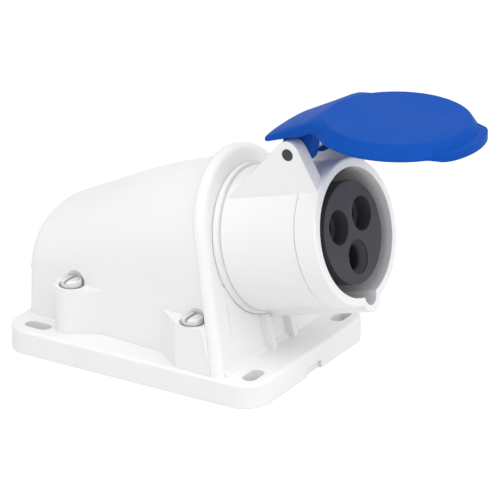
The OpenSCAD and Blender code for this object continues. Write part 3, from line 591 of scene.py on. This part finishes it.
def screw_tree() -> bpy.types.NodeTree:
    """Slotted pan screws, one on each point.

    Returns:
        The tree, built on the first call.
    """
    made = bpy.data.node_groups.get("slotted_pan_screws")
    if made:
        return made
    sizes = {
        "Head Radius": 3.7 * MM,
        "Head Height": 2.6 * MM,
        "Shank Radius": 1.9 * MM,
        "Shank Length": 18 * MM,
        "Slot Width": 1 * MM,
        "Slot Depth": 1.2 * MM,
        "Crown": 0.32,
    }
    tree, start = new_tree("slotted_pan_screws", sizes)
    radius, height, length = (start.outputs[n] for n in ("Head Radius", "Head Height", "Shank Length"))
    head = add_node(
        tree,
        "GeometryNodeMeshCylinder",
        {"fill_type": "TRIANGLE_FAN"},
        {"Vertices": 48, "Side Segments": 3, "Fill Segments": 8, "Radius": radius, "Depth": height},
    ).outputs["Mesh"]
    half = add_node(tree, "ShaderNodeMath", {"operation": "MULTIPLY"}, {0: height, 1: 0.5}).outputs[0]
    head = lifted(tree, head, half)
    # The crown: a corner falls with the fourth power of its share of the head's radius.
    spot = add_node(tree, "GeometryNodeInputPosition").outputs[0]
    at = add_node(tree, "ShaderNodeSeparateXYZ", {}, {0: spot}).outputs
    squares = [
        add_node(tree, "ShaderNodeMath", {"operation": "MULTIPLY"}, {0: side, 1: side}).outputs[0]
        for side in (at["X"], at["Y"], radius)
    ]
    across = add_node(tree, "ShaderNodeMath", {"operation": "ADD"}, {0: squares[0], 1: squares[1]}).outputs[0]
    share = add_node(tree, "ShaderNodeMath", {"operation": "DIVIDE"}, {0: across, 1: squares[2]}).outputs[0]
    drop = share
    for factor in (share, start.outputs["Crown"], at["Z"], -1.0):
        drop = add_node(tree, "ShaderNodeMath", {"operation": "MULTIPLY"}, {0: drop, 1: factor}).outputs[0]
    fall = add_node(tree, "ShaderNodeCombineXYZ", {}, {"Z": drop}).outputs[0]
    head = add_node(tree, "GeometryNodeSetPosition", {}, {"Geometry": head, "Offset": fall}).outputs[0]
    shank = add_node(
        tree,
        "GeometryNodeMeshCylinder",
        {"fill_type": "NGON"},
        {"Vertices": 32, "Radius": start.outputs["Shank Radius"], "Depth": length},
    ).outputs["Mesh"]
    half = add_node(tree, "ShaderNodeMath", {"operation": "MULTIPLY"}, {0: length, 1: 0.5}).outputs[0]
    sink = add_node(tree, "ShaderNodeMath", {"operation": "SUBTRACT"}, {0: SHANK_LAP * MM, 1: half})
    shank = lifted(tree, shank, sink.outputs[0])
    whole = add_node(
        tree, "GeometryNodeMeshBoolean", {"operation": "UNION", "solver": "EXACT"}, {"Mesh 2": head}
    )
    tree.links.new(shank, whole.inputs["Mesh 2"])
    # The blade that cuts the slot is longer than the head is wide, and half of it stands above the head.
    reach = add_node(tree, "ShaderNodeMath", {"operation": "MULTIPLY"}, {0: radius, 1: 3.0}).outputs[0]
    tall = add_node(
        tree, "ShaderNodeMath", {"operation": "MULTIPLY"}, {0: start.outputs["Slot Depth"], 1: 2.0}
    ).outputs[0]
    room = add_node(
        tree, "ShaderNodeCombineXYZ", {}, {"X": reach, "Y": start.outputs["Slot Width"], "Z": tall}
    ).outputs[0]
    blade = add_node(tree, "GeometryNodeMeshCube", {}, {"Size": room}).outputs["Mesh"]
    slotted = add_node(
        tree,
        "GeometryNodeMeshBoolean",
        {"operation": "DIFFERENCE", "solver": "EXACT"},
        {"Mesh 1": whole.outputs["Mesh"], "Mesh 2": lifted(tree, blade, height)},
    ).outputs["Mesh"]
    slotted = add_node(
        tree, "GeometryNodeMergeByDistance", {}, {"Geometry": slotted, "Distance": SLOT_WELD}
    ).outputs["Geometry"]
    end_tree(tree, start, on_points(tree, start, slotted))
    return tree


def clip_tree() -> bpy.types.NodeTree:
    """Open spring rings of flat strip, one on each point.

    Returns:
        The tree.
    """
    sizes = {"Ring Radius": 4.75 * MM, "Strip Thickness": 0.8 * MM, "Strip Width": 2.5 * MM, "Sweep": 5.2}
    tree, start = new_tree("open_spring_rings", sizes)
    sweep = start.outputs["Sweep"]
    half = add_node(tree, "ShaderNodeMath", {"operation": "MULTIPLY"}, {0: sweep, 1: 0.5}).outputs[0]
    begin = add_node(tree, "ShaderNodeMath", {"operation": "SUBTRACT"}, {0: math.pi, 1: half}).outputs[0]
    radius = start.outputs["Ring Radius"]
    arc = add_node(
        tree,
        "GeometryNodeCurveArc",
        {"mode": "RADIUS"},
        {"Resolution": 64, "Radius": radius, "Start Angle": begin, "Sweep Angle": sweep},
    ).outputs["Curve"]
    strip = add_node(
        tree,
        "GeometryNodeCurvePrimitiveQuadrilateral",
        {"mode": "RECTANGLE"},
        {"Width": start.outputs["Strip Thickness"], "Height": start.outputs["Strip Width"]},
    ).outputs["Curve"]
    ring = add_node(
        tree, "GeometryNodeCurveToMesh", {}, {"Curve": arc, "Profile Curve": strip, "Fill Caps": True}
    ).outputs["Mesh"]
    end_tree(tree, start, on_points(tree, start, ring))
    return tree


def wire_tree() -> bpy.types.NodeTree:
    """Round wire along the object's own curve, with eased corners.

    Returns:
        The tree.
    """
    tree, start = new_tree("round_wire", {"Wire Radius": 0.5 * MM, "Corner Radius": 0.6 * MM})
    eased = add_node(
        tree,
        "GeometryNodeFilletCurve",
        {"mode": "POLY"},
        {"Curve": start.outputs["Geometry"], "Count": 3, "Radius": start.outputs["Corner Radius"]},
    ).outputs["Curve"]
    section = add_node(
        tree,
        "GeometryNodeCurvePrimitiveCircle",
        {"mode": "RADIUS"},
        {"Resolution": 14, "Radius": start.outputs["Wire Radius"]},
    ).outputs["Curve"]
    wire = add_node(
        tree, "GeometryNodeCurveToMesh", {}, {"Curve": eased, "Profile Curve": section, "Fill Caps": True}
    ).outputs["Mesh"]
    end_tree(tree, start, wire)
    return tree


def points_piece(name: str, places: Sequence[Matrix]) -> bpy.types.Object:
    """Loose points that carry a place and a turn for each copy of a piece.

    Args:
        name: Name of the piece.
        places: One matrix for each copy.

    Returns:
        The object with the points.
    """
    mesh = bpy.data.meshes.new(name)
    mesh.from_pydata([m.to_translation() for m in places], [], [])
    turns = mesh.attributes.new("turn", "FLOAT_VECTOR", "POINT")
    turns.data.foreach_set("vector", [v for m in places for v in m.to_euler("XYZ")])
    return add_object(name, mesh)


@dataclass
class SocketFrame:
    """The slanted frame of the plug face: z = 0 on the flange, +z out of the mouth, +y up.

    Attributes:
        tilt: Angle of the socket axis above the plate, in degrees.
        axis_y: Y of the axis at the flange, in mm.
        axis_z: Height of the axis at the flange, in mm.
    """

    tilt: float = 15.0
    axis_y: float = -28.2
    axis_z: float = 45.4

    def matrix(self) -> Matrix:
        """Turns the slanted frame in metres into the object's frame."""
        place = Matrix.Translation((0, self.axis_y * MM, self.axis_z * MM))
        return place @ Matrix.Rotation(math.radians(90 - self.tilt), 4, "X")

    def at(self, x: float, y: float, z: float, turn: Matrix | None = None) -> Matrix:
        """Place of a piece in the slanted frame.

        Args:
            x: Distance to the side in mm.
            y: Distance up in mm.
            z: Distance out of the mouth in mm.
            turn: Turn of the piece within the slanted frame.

        Returns:
            The place in the object's frame.
        """
        place = self.matrix() @ Matrix.Translation((x * MM, y * MM, z * MM))
        return place @ turn if turn else place


@dataclass
class ScrewSet:
    """Screws of one size.

    Attributes:
        node: The solid that they stand for.
        head_r: Radius of a head in mm.
        head_h: Height of a head in mm.
        shank_r: Radius of a shank in mm.
        shank_l: Length of a shank in mm.
        places: One matrix for each screw, with its origin under the head.
        crown: Share by which a head falls to its edge.
        slot_w: Width of the slot as a share of the head's radius.
        slot_d: Depth of the slot as a share of the head's height.
    """

    node: str
    head_r: float
    head_h: float
    shank_r: float
    shank_l: float
    places: list[Matrix]
    crown: float = 0.32
    slot_w: float = 0.34
    slot_d: float = 0.55

    def build(self) -> None:
        """Builds the screws and lets them stand for their solid."""
        values = {
            "Head Radius": self.head_r * MM,
            "Head Height": self.head_h * MM,
            "Shank Radius": self.shank_r * MM,
            "Shank Length": (self.shank_l + SHANK_LAP) * MM,
            "Slot Width": self.slot_w * self.head_r * MM,
            "Slot Depth": self.slot_d * self.head_h * MM,
            "Crown": self.crown,
            "Material": ZINC.material(),
        }
        piece = frozen(points_piece(self.node + "_turned", self.places), screw_tree(), values)
        settle(piece, ZINC, Body.SOCKET, [self.node])


def upright(x: float, y: float, z: float, turn: float) -> Matrix:
    """Place of an upright screw, from its point in mm and its turn in degrees."""
    return Matrix.Translation((x * MM, y * MM, z * MM)) @ Matrix.Rotation(math.radians(turn), 4, "Z")


@dataclass
class WallBase:
    """Plate and flange, with the seals of the cover and the collar."""

    def build(self) -> None:
        """Dresses the base and its seals."""
        smooth_copy("mounting_base", WHITE, Body.SOCKET)
        dress("cover_seal", SEAL)
        dress("collar_seal", SEAL)


@dataclass
class CordGrommet:
    """Ribbed rubber sleeve in the cover's rear wall.

    Its corners are given as a radius and a distance out from the wall.

    Attributes:
        rear_y: Y of the rear wall's outer face in mm.
        entry_z: Height of the cord in mm.
        cord_r: Radius of the cord in mm.
        ribs: Number of ribs.
        rib_r: Radius of the rib by the wall in mm.
        rib_fall: By how much the radius of each further rib is smaller, in mm.
        rib_pitch: Distance from rib to rib in mm.
        rib: Corners of a rib and the groove behind it, from the rib's first corner, in mm.
        foot: Corners of the foot on the wall, in mm.
        nose: Corners of the nose, in mm.
        lip: Corners of the lip behind the wall, in mm.
    """

    rear_y: float = 51.0
    entry_z: float = 17.0
    cord_r: float = 4.4
    ribs: int = 3
    rib_r: float = 6.85
    rib_fall: float = 0.08
    rib_pitch: float = 2.3
    rib: tuple[tuple[float, float], ...] = ((0.0, 0.0), (-0.55, 0.3), (-0.55, 0.9), (-0.05, 1.2))
    foot: tuple[tuple[float, float], ...] = ((7.0, 0.0), (7.0, 1.2), (6.9, 1.5))
    nose: tuple[tuple[float, float], ...] = ((6.6, 9.5), (6.3, 10.1), (5.6, 10.5))
    lip: tuple[tuple[float, float], ...] = ((6.6, -4.0), (7.0, -3.6), (7.0, -2.4), (5.8, -2.4), (5.8, 0.0))

    def build(self) -> None:
        """Turns the sleeve and lets it stand for its solid."""
        outside = list(self.foot)
        for number in range(self.ribs):
            r = self.rib_r - self.rib_fall * number
            z = self.rib_pitch + self.rib_pitch * number
            outside += [(r + out, z + along) for out, along in self.rib]
        bore = [(self.cord_r, self.nose[-1][1]), (self.cord_r, self.lip[0][1])]
        wall = Matrix.Translation((0, self.rear_y * MM, self.entry_z * MM))
        place = wall @ Matrix.Rotation(-math.pi / 2, 4, "X")
        piece = revolve("cable_grommet_ribbed", [*outside, *self.nose, *bore, *self.lip], place)
        settle(piece, GREY_RUBBER, Body.SOCKET, ["cable_grommet"])


@dataclass
class WiringCover:
    """Rear cover with its screws, the cord grommet and the cord clamp.

    Attributes:
        screw_spots: X and Y of the screws on the +X side, in mm.
        slot_turns: How far each screw was turned, in degrees.
        head_z: Height of the heads' undersides in mm.
        plate_t: Thickness of the plate in mm.
        bite: How deep the screws reach into the plate, in mm.
        clamp_x: Distance of the clamp's screws from the middle in mm.
        clamp_y: Y of the cord clamp in mm.
        clamp_top: Height of the clamp saddle's top in mm.
        clamp_turn: How far the clamp's screws were turned, in degrees.
    """

    screw_spots: tuple[tuple[float, float], ...] = ((33.39, -23.4), (27.91, 29.6))
    slot_turns: tuple[float, ...] = (-4, 110, -6, 148)
    head_z: float = 25.0
    plate_t: float = 8.8
    bite: float = 6.6
    clamp_x: float = 10.5
    clamp_y: float = 34.0
    clamp_top: float = 24.4
    clamp_turn: float = 40.0

    def build(self) -> None:
        """Dresses the cover and builds what is fixed to it."""
        smooth_copy("rear_cover", WHITE, Body.SOCKET)
        spots = [(s * x, y) for x, y in self.screw_spots for s in SIDES]
        ScrewSet(
            node="cover_screws",
            head_r=3.7,
            head_h=2.6,
            shank_r=1.9,
            shank_l=self.head_z - self.plate_t + self.bite,
            places=[upright(x, y, self.head_z, turn) for (x, y), turn in zip(spots, self.slot_turns)],
            crown=0.2,
        ).build()
        ScrewSet(
            node="clamp_screws",
            head_r=2.85,
            head_h=2.0,
            shank_r=1.5,
            shank_l=13.9,
            places=[
                upright(s * self.clamp_x, self.clamp_y, self.clamp_top, s * self.clamp_turn) for s in SIDES
            ],
        ).build()
        dress("clamp_saddle", WHITE)
        CordGrommet().build()


@dataclass
class PlugCollar:
    """Collar with its hinge lugs, its nut and the hinge pin."""

    def build(self) -> None:
        """Dresses the collar, the nut and the pin."""
        smooth_copy("socket_collar", WHITE, Body.SOCKET)
        smooth_copy("collar_nut", DARK, Body.SOCKET)
        smooth_copy("hinge_pin", BLACKENED, Body.SOCKET)


@dataclass(frozen=True)
class Contact:
    """One contact with the floor ring of its well.

    Attributes:
        name: What it connects.
        angle: Where it lies round the socket axis, in degrees.
        floor_d: Depth of the ring's hole behind the core's face in mm.
        hole_r: Radius of that hole in mm.
        rise: How far the ring rises from the hole to the well's wall, in mm.
    """

    name: str
    angle: float
    floor_d: float
    hole_r: float
    rise: float = 0.0


@dataclass
class ContactInsert:
    """Dark core with its three contacts.

    Attributes:
        slant: The slanted frame.
        contacts: The contacts.
        pitch_r: Radius of the contacts' circle in mm.
        core_front: Distance of the core's face from the flange in mm.
        well_r: Radius of a well in mm.
        well_d: Depth of a well in mm.
        floor_t: Thickness of a well's floor ring in mm.
        clip_w: Width of a spring clip's strip in mm.
        clip_sweep: How far a clip reaches round its contact, in radians.
        carrier_back: Distance of the core's back behind the flange in mm.
        terminal_l: Length of a contact's terminal in mm.
        terminal_r: Distance of the terminal screw's head from the contact's axis in mm.
        terminal_shift: How far that screw sits behind the terminal's middle, in mm.
        carrier_x: Distance of the carrier's screws from the socket axis in mm.
        carrier_z: Distance of their heads' undersides from the flange in mm.
    """

    slant: SocketFrame
    contacts: tuple[Contact, ...] = (
        Contact("line", angle=150, floor_d=5.4, hole_r=3.6),
        Contact("neutral", angle=30, floor_d=5.4, hole_r=3.6),
        Contact("earth", angle=270, floor_d=2.6, hole_r=4.5, rise=2.2),
    )
    pitch_r: float = 8.75
    core_front: float = 40.25
    well_r: float = 6.0
    well_d: float = 11.0
    floor_t: float = 1.2
    clip_w: float = 2.5
    clip_sweep: float = 5.2
    carrier_back: float = 9.0
    terminal_l: float = 11.0
    terminal_r: float = 4.3
    terminal_shift: float = 1.0
    carrier_x: float = 20.1
    carrier_z: float = -3.3

    def on_contact(self, contact: Contact, x: float, z: float, turn: Matrix | None = None) -> Matrix:
        """Place on a contact's axis, with +x away from the socket axis.

        Args:
            contact: The contact.
            x: Distance from the contact's axis in mm.
            z: Distance from the flange in mm.
            turn: Turn of the piece there.

        Returns:
            The place in the object's frame.
        """
        spin = Matrix.Rotation(math.radians(contact.angle), 4, "Z")
        place = self.slant.matrix() @ spin @ Matrix.Translation(((self.pitch_r + x) * MM, 0, z * MM))
        return place @ turn if turn else place

    def build(self) -> None:
        """Dresses the core and the contacts, and builds rings, clips and screws."""
        smooth_copy("contact_carrier", DARK, Body.SOCKET)
        for contact in self.contacts:
            smooth_copy(contact.name + "_contact", BRASS, Body.SOCKET)
        for contact in self.contacts:
            self.floor_ring(contact)
        self.clips()
        self.screws()

    def floor_ring(self, contact: Contact) -> None:
        """Adds the ring in a well through which the plug's pin reaches the contact.

        Args:
            contact: The contact that it guards.
        """
        hole_r, under = contact.hole_r, -self.floor_t
        profile = [(hole_r, under), (self.well_r, under), (self.well_r, contact.rise), (hole_r, 0.0)]
        place = self.on_contact(contact, 0, self.core_front - contact.floor_d)
        settle(revolve(contact.name + "_well_floor", profile, place), DARK, Body.SOCKET)

    def clips(self) -> None:
        """Rolls a spring clip round each contact, on the floor of its well."""
        level = self.core_front - self.well_d + self.clip_w / 2
        values = {
            "Strip Width": self.clip_w * MM,
            "Sweep": self.clip_sweep,
            "Material": ZINC.material(),
        }
        places = [self.on_contact(contact, 0, level) for contact in self.contacts]
        piece = frozen(points_piece("contact_clips_rolled", places), clip_tree(), values)
        settle(piece, ZINC, Body.SOCKET, ["contact_clips"])

    def screws(self) -> None:
        """Builds the screws of the terminals and those that hold the carrier."""
        out = Matrix.Rotation(math.pi / 2, 4, "Y")
        tail = -self.carrier_back - self.terminal_l / 2 - self.terminal_shift
        ScrewSet(
            node="terminal_screws",
            head_r=2.6,
            head_h=1.8,
            shank_r=1.5,
            shank_l=3.1,
            places=[self.on_contact(contact, self.terminal_r, tail, out) for contact in self.contacts],
        ).build()
        back = Matrix.Rotation(math.pi, 4, "X")
        ScrewSet(
            node="carrier_screws",
            head_r=2.0,
            head_h=1.6,
            shank_r=1.1,
            shank_l=6.0,
            places=[self.slant.at(s * self.carrier_x, 0, self.carrier_z, back) for s in SIDES],
        ).build()


@dataclass
class SprungLid:
    """Blue lid with its seal, and the spring on the pin.

    Attributes:
        slant: The slanted frame.
        hinge_y: Height of the pin above the socket axis in mm.
        hinge_z: Distance of the pin from the flange in mm.
        wire_r: Radius of the spring's wire in mm.
        coil_r: Radius of the spring's coil in mm.
        half: Half of the coil's width in mm.
        turns: Turns of the coil.
        coil_steps: Points on each turn of the coil.
        leg_y: Height of the foot of the spring's leg from the pin, in mm.
        stub: Length of its other end as a share of the coil's radius.
        opening: Angle in degrees by which the lid stands open.
        rim_r: Radius of the lid's rim in mm.
        rim_z: Distance of the rim's underside from the flange with the lid shut, in mm.
        foot_h: Height of the rim's upright foot in mm.
        wall_lean: How far the wall above it leans in on each mm of height, in mm.
        wall_gap: How far the tab's top stays above that wall, in mm.
        tab_t: Thickness of the thumb tab in mm.
        tab_full: Angle in degrees up to which the thumb tab has its full depth.
        tab_end: Angle in degrees at which it has run out.
        end_t: Share of its thickness that is left there.
        end_d: Least share of its depth.
        lip_end: Angle in degrees at which its hanging lip has run out.
        lip_fade: Angle in degrees over which the lip runs out.
        lip_least: Least share of the lip's height, which keeps the mesh closed.
        near: Distance in mm within which a corner lies on a face.
    """

    slant: SocketFrame
    hinge_y: float = 33.5
    hinge_z: float = 32.1
    wire_r: float = 0.5
    coil_r: float = 2.95
    half: float = 3.7
    turns: int = 6
    coil_steps: int = 24
    leg_y: float = -7.7
    stub: float = 0.9
    opening: float = 75.0
    rim_r: float = 27.7
    rim_z: float = 42.1
    foot_h: float = 0.8
    wall_lean: float = 0.664
    wall_gap: float = 0.02
    tab_t: float = 2.2
    tab_full: float = 18.0
    tab_end: float = 40.6
    end_t: float = 0.4
    end_d: float = 0.05
    lip_end: float = 36.0
    lip_fade: float = 6.0
    lip_least: float = 0.1
    near: float = 0.05

    def build(self) -> None:
        """Dresses the lid and winds the spring."""
        smooth_copy("lid", BLUE, Body.LID, reshape=self.run_out_tab)
        dress("lid_seal", SEAL)
        self.spring()

    def run_out_tab(self, mesh: bpy.types.Mesh) -> None:
        """Lets both ends of the thumb tab run out softly into the rim.

        Args:
            mesh: Mesh of the lid as it stands open.
        """
        pin = Matrix.Translation((0, self.hinge_y * MM, self.hinge_z * MM))
        turn = Matrix.Rotation(math.radians(self.opening), 4, "X")
        shut = pin @ turn @ self.slant.at(0, self.hinge_y, self.hinge_z).inverted()
        opened = shut.inverted()
        for corner in mesh.vertices:
            spot = (shut @ corner.co) / MM
            reach = math.hypot(spot.x, spot.y)
            aside = abs(math.degrees(math.atan2(spot.x, -spot.y)))
            rise, beyond = spot.z - self.rim_z, reach - self.rim_r
            if aside > self.tab_end or (beyond < self.near and abs(rise - self.tab_t) > self.near):
                continue
            share = 1 - (max(0.0, aside - self.tab_full) / (self.tab_end - self.tab_full)) ** 2
            if rise < 0:
                rise *= min(max((self.lip_end - aside) / self.lip_fade, self.lip_least), 1.0)
            else:
                rise *= self.end_t + (1 - self.end_t) * share
            scale = 1.0
            if beyond > 0:
                scale = (self.rim_r + beyond * max(share, self.end_d)) / reach
            else:
                rise = max(rise, self.foot_h - beyond / self.wall_lean + self.wall_gap)
            corner.co = opened @ (Vector((spot.x * scale, spot.y * scale, self.rim_z + rise)) * MM)

    def spring(self) -> None:
        """Winds the lid spring with its leg on the collar."""
        steps = self.coil_steps * self.turns
        coil = []
        for i in range(steps + 1):
            turn = 2 * math.pi * self.turns * i / steps
            x = -self.half + 2 * self.half * i / steps
            coil.append((x, -self.coil_r * math.sin(turn), -self.coil_r * math.cos(turn)))
        leg = (-self.half, self.leg_y, -self.coil_r)
        path = [leg, *coil, (self.half, -self.stub * self.coil_r, -self.coil_r)]
        curve = bpy.data.curves.new("lid_spring_wound", "CURVE")
        curve.dimensions = "3D"
        spline = curve.splines.new("POLY")
        spline.points.add(len(path) - 1)
        place = self.slant.at(0, self.hinge_y, self.hinge_z)
        for point, spot in zip(spline.points, path):
            point.co = (*(place @ (Vector(spot) * MM)), 1.0)
        values = {"Wire Radius": self.wire_r * MM, "Material": ZINC.material()}
        piece = frozen(add_object("lid_spring_wound", curve), wire_tree(), values)
        settle(piece, ZINC, Body.SOCKET, ["lid_spring"])


def direction(azimuth: float, elevation: float) -> Vector:
    """Direction from the part to a point at an azimuth and an elevation in degrees."""
    a, e = math.radians(azimuth), math.radians(elevation)
    return Vector((math.sin(a) * math.cos(e), -math.cos(a) * math.cos(e), math.sin(e)))


def seen_rays(tree: bpy.types.NodeTree) -> bpy.types.NodeSocket:
    """Tells rays that show the surroundings from those that only light the part.

    Args:
        tree: Shader tree that gets the nodes.

    Returns:
        1 for rays from the camera, in a gloss or through glass, and 0 for the others.
    """
    path = add_node(tree, "ShaderNodeLightPath").outputs
    seen = path["Is Camera Ray"]
    for kind in ("Is Glossy Ray", "Is Transmission Ray"):
        seen = add_node(tree, "ShaderNodeMath", {"operation": "MAXIMUM"}, {0: seen, 1: path[kind]}).outputs[0]
    return seen


@dataclass(frozen=True)
class Lamp:
    """A square soft lamp that faces the part.

    Attributes:
        name: Its name.
        azimuth: Its azimuth in degrees.
        elevation: Its elevation in degrees.
        away: Its distance in metres.
        size: Its width in metres.
        power: Its power in watts.
    """

    name: str
    azimuth: float
    elevation: float
    away: float
    size: float
    power: float


@dataclass
class Studio:
    """White floor, soft lamps and the camera of the photograph.

    Attributes:
        target: Point that the camera and the lamps face, in mm.
        azimuth: Camera's azimuth in degrees.
        elevation: Camera's elevation in degrees.
        distance: Camera's distance in mm.
        lens: Camera's focal length in mm.
        sensor: Width of its sensor in mm.
        clip: Nearest and farthest distance that it shows, in metres.
        lamps: The lamps.
        floor_reach: How far the floor reaches to each side, in metres.
        floor_drop: How far it lies below the plate, in mm.
        paper: Lightness of its paper.
        paper_glow: Strength with which the seen paper shines.
        glow_share: Share of that in what is seen, where the rest takes light and shadow.
        surround: Middle strength of the light from the surround.
        surround_lean: How much stronger it is from its bright side, and weaker from behind.
        bright_side: Azimuth and elevation of that side in degrees.
        backdrop: Strength with which the surround is seen.
    """

    target: tuple[float, float, float] = (26.39, -9.98, 27.22)
    azimuth: float = -58.61
    elevation: float = 22.93
    distance: float = 1628.7
    lens: float = 332.43
    sensor: float = 36.0
    clip: tuple[float, float] = (0.05, 50.0)
    lamps: tuple[Lamp, ...] = (
        Lamp("key", azimuth=-106, elevation=58, away=0.9, size=0.9, power=3.25),
        Lamp("fill", azimuth=8, elevation=35, away=1.0, size=1.0, power=3.9),
        Lamp("top", azimuth=-40, elevation=80, away=1.1, size=1.0, power=1.2),
    )
    floor_reach: float = 3.0
    floor_drop: float = 0.1
    paper: float = 0.85
    paper_glow: float = 1.08
    glow_share: float = 0.86
    surround: float = 0.56
    surround_lean: float = 0.26
    bright_side: tuple[float, float] = (-45, 5)
    backdrop: float = 1.05

    def build(self) -> None:
        """Sets up the view, the floor and the light."""
        bpy.context.scene.view_settings.view_transform = "Standard"
        self.camera()
        self.floor()
        self.world()
        for lamp in self.lamps:
            self.hang(lamp)

    def camera(self) -> None:
        """Adds the camera."""
        data = bpy.data.cameras.new("photo_view")
        data.lens = self.lens
        data.sensor_width = self.sensor
        data.clip_start, data.clip_end = self.clip
        camera = add_object("photo_view", data)
        back = direction(self.azimuth, self.elevation)
        camera.location = Vector(self.target) * MM + back * self.distance * MM
        camera.rotation_euler = (-back).to_track_quat("-Z", "Y").to_euler()
        bpy.context.scene.camera = camera

    def hang(self, lamp: Lamp) -> None:
        """Adds a lamp.

        Args:
            lamp: Where it hangs and how strong it is.
        """
        data = bpy.data.lights.new(lamp.name, "AREA")
        data.size = lamp.size
        data.energy = lamp.power
        made = add_object(lamp.name, data)
        back = direction(lamp.azimuth, lamp.elevation)
        made.location = Vector(self.target) * MM + back * lamp.away
        made.rotation_euler = (-back).to_track_quat("-Z", "Y").to_euler()

    def floor(self) -> None:
        """Adds a white floor that keeps a faint shadow."""
        reach = self.floor_reach
        mesh = bpy.data.meshes.new("studio_floor")
        corners = [(-reach, -reach, 0), (reach, -reach, 0), (reach, reach, 0), (-reach, reach, 0)]
        mesh.from_pydata(corners, [], [(0, 1, 2, 3)])
        mesh.transform(Matrix.Translation((0, 0, -self.floor_drop * MM)))
        floor = add_object("studio_floor", mesh)
        paper = bpy.data.materials.new("studio_paper")
        paper.use_nodes = True
        tree = paper.node_tree
        tree.nodes.clear()
        colour = (self.paper, self.paper, self.paper, 1)
        matt = add_node(tree, "ShaderNodeBsdfDiffuse", {}, {"Color": colour}).outputs[0]
        glow = add_node(tree, "ShaderNodeEmission", {}, {"Strength": self.paper_glow}).outputs[0]
        share = add_node(
            tree, "ShaderNodeMath", {"operation": "MULTIPLY"}, {0: seen_rays(tree), 1: self.glow_share}
        ).outputs[0]
        mixed = add_node(tree, "ShaderNodeMixShader", {}, {0: share, 1: matt, 2: glow}).outputs[0]
        add_node(tree, "ShaderNodeOutputMaterial", {}, {"Surface": mixed})
        mesh.materials.append(paper)

    def world(self) -> None:
        """Sets a surround that lights softly, more from the front than from behind, and shows as white."""
        world = bpy.data.worlds.new("studio_surround")
        bpy.context.scene.world = world
        world.use_nodes = True
        tree = world.node_tree
        tree.nodes.clear()
        towards = add_node(
            tree,
            "ShaderNodeVectorMath",
            {"operation": "DOT_PRODUCT"},
            {
                0: add_node(tree, "ShaderNodeTexCoord").outputs["Generated"],
                1: direction(*self.bright_side),
            },
        ).outputs["Value"]
        lean = add_node(
            tree, "ShaderNodeMath", {"operation": "MULTIPLY"}, {0: towards, 1: self.surround_lean}
        ).outputs[0]
        soft = add_node(tree, "ShaderNodeMath", {"operation": "ADD"}, {0: self.surround, 1: lean}).outputs[0]
        lack = add_node(tree, "ShaderNodeMath", {"operation": "SUBTRACT"}, {0: self.backdrop, 1: soft})
        shown = add_node(
            tree, "ShaderNodeMath", {"operation": "MULTIPLY"}, {0: seen_rays(tree), 1: lack.outputs[0]}
        ).outputs[0]
        light = add_node(tree, "ShaderNodeMath", {"operation": "ADD"}, {0: soft, 1: shown}).outputs[0]
        surround = add_node(tree, "ShaderNodeBackground", {}, {"Color": (1, 1, 1, 1), "Strength": light})
        add_node(tree, "ShaderNodeOutputWorld", {}, {"Surface": surround.outputs[0]})


def main() -> None:
    """Builds the pieces in order."""
    logging.basicConfig(level=logging.INFO, format="%(name)s: %(message)s")
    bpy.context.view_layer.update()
    slant = SocketFrame()
    Studio().build()
    WallBase().build()
    WiringCover().build()
    PlugCollar().build()
    ContactInsert(slant).build()
    SprungLid(slant).build()


if __name__ == "__main__":
    main()
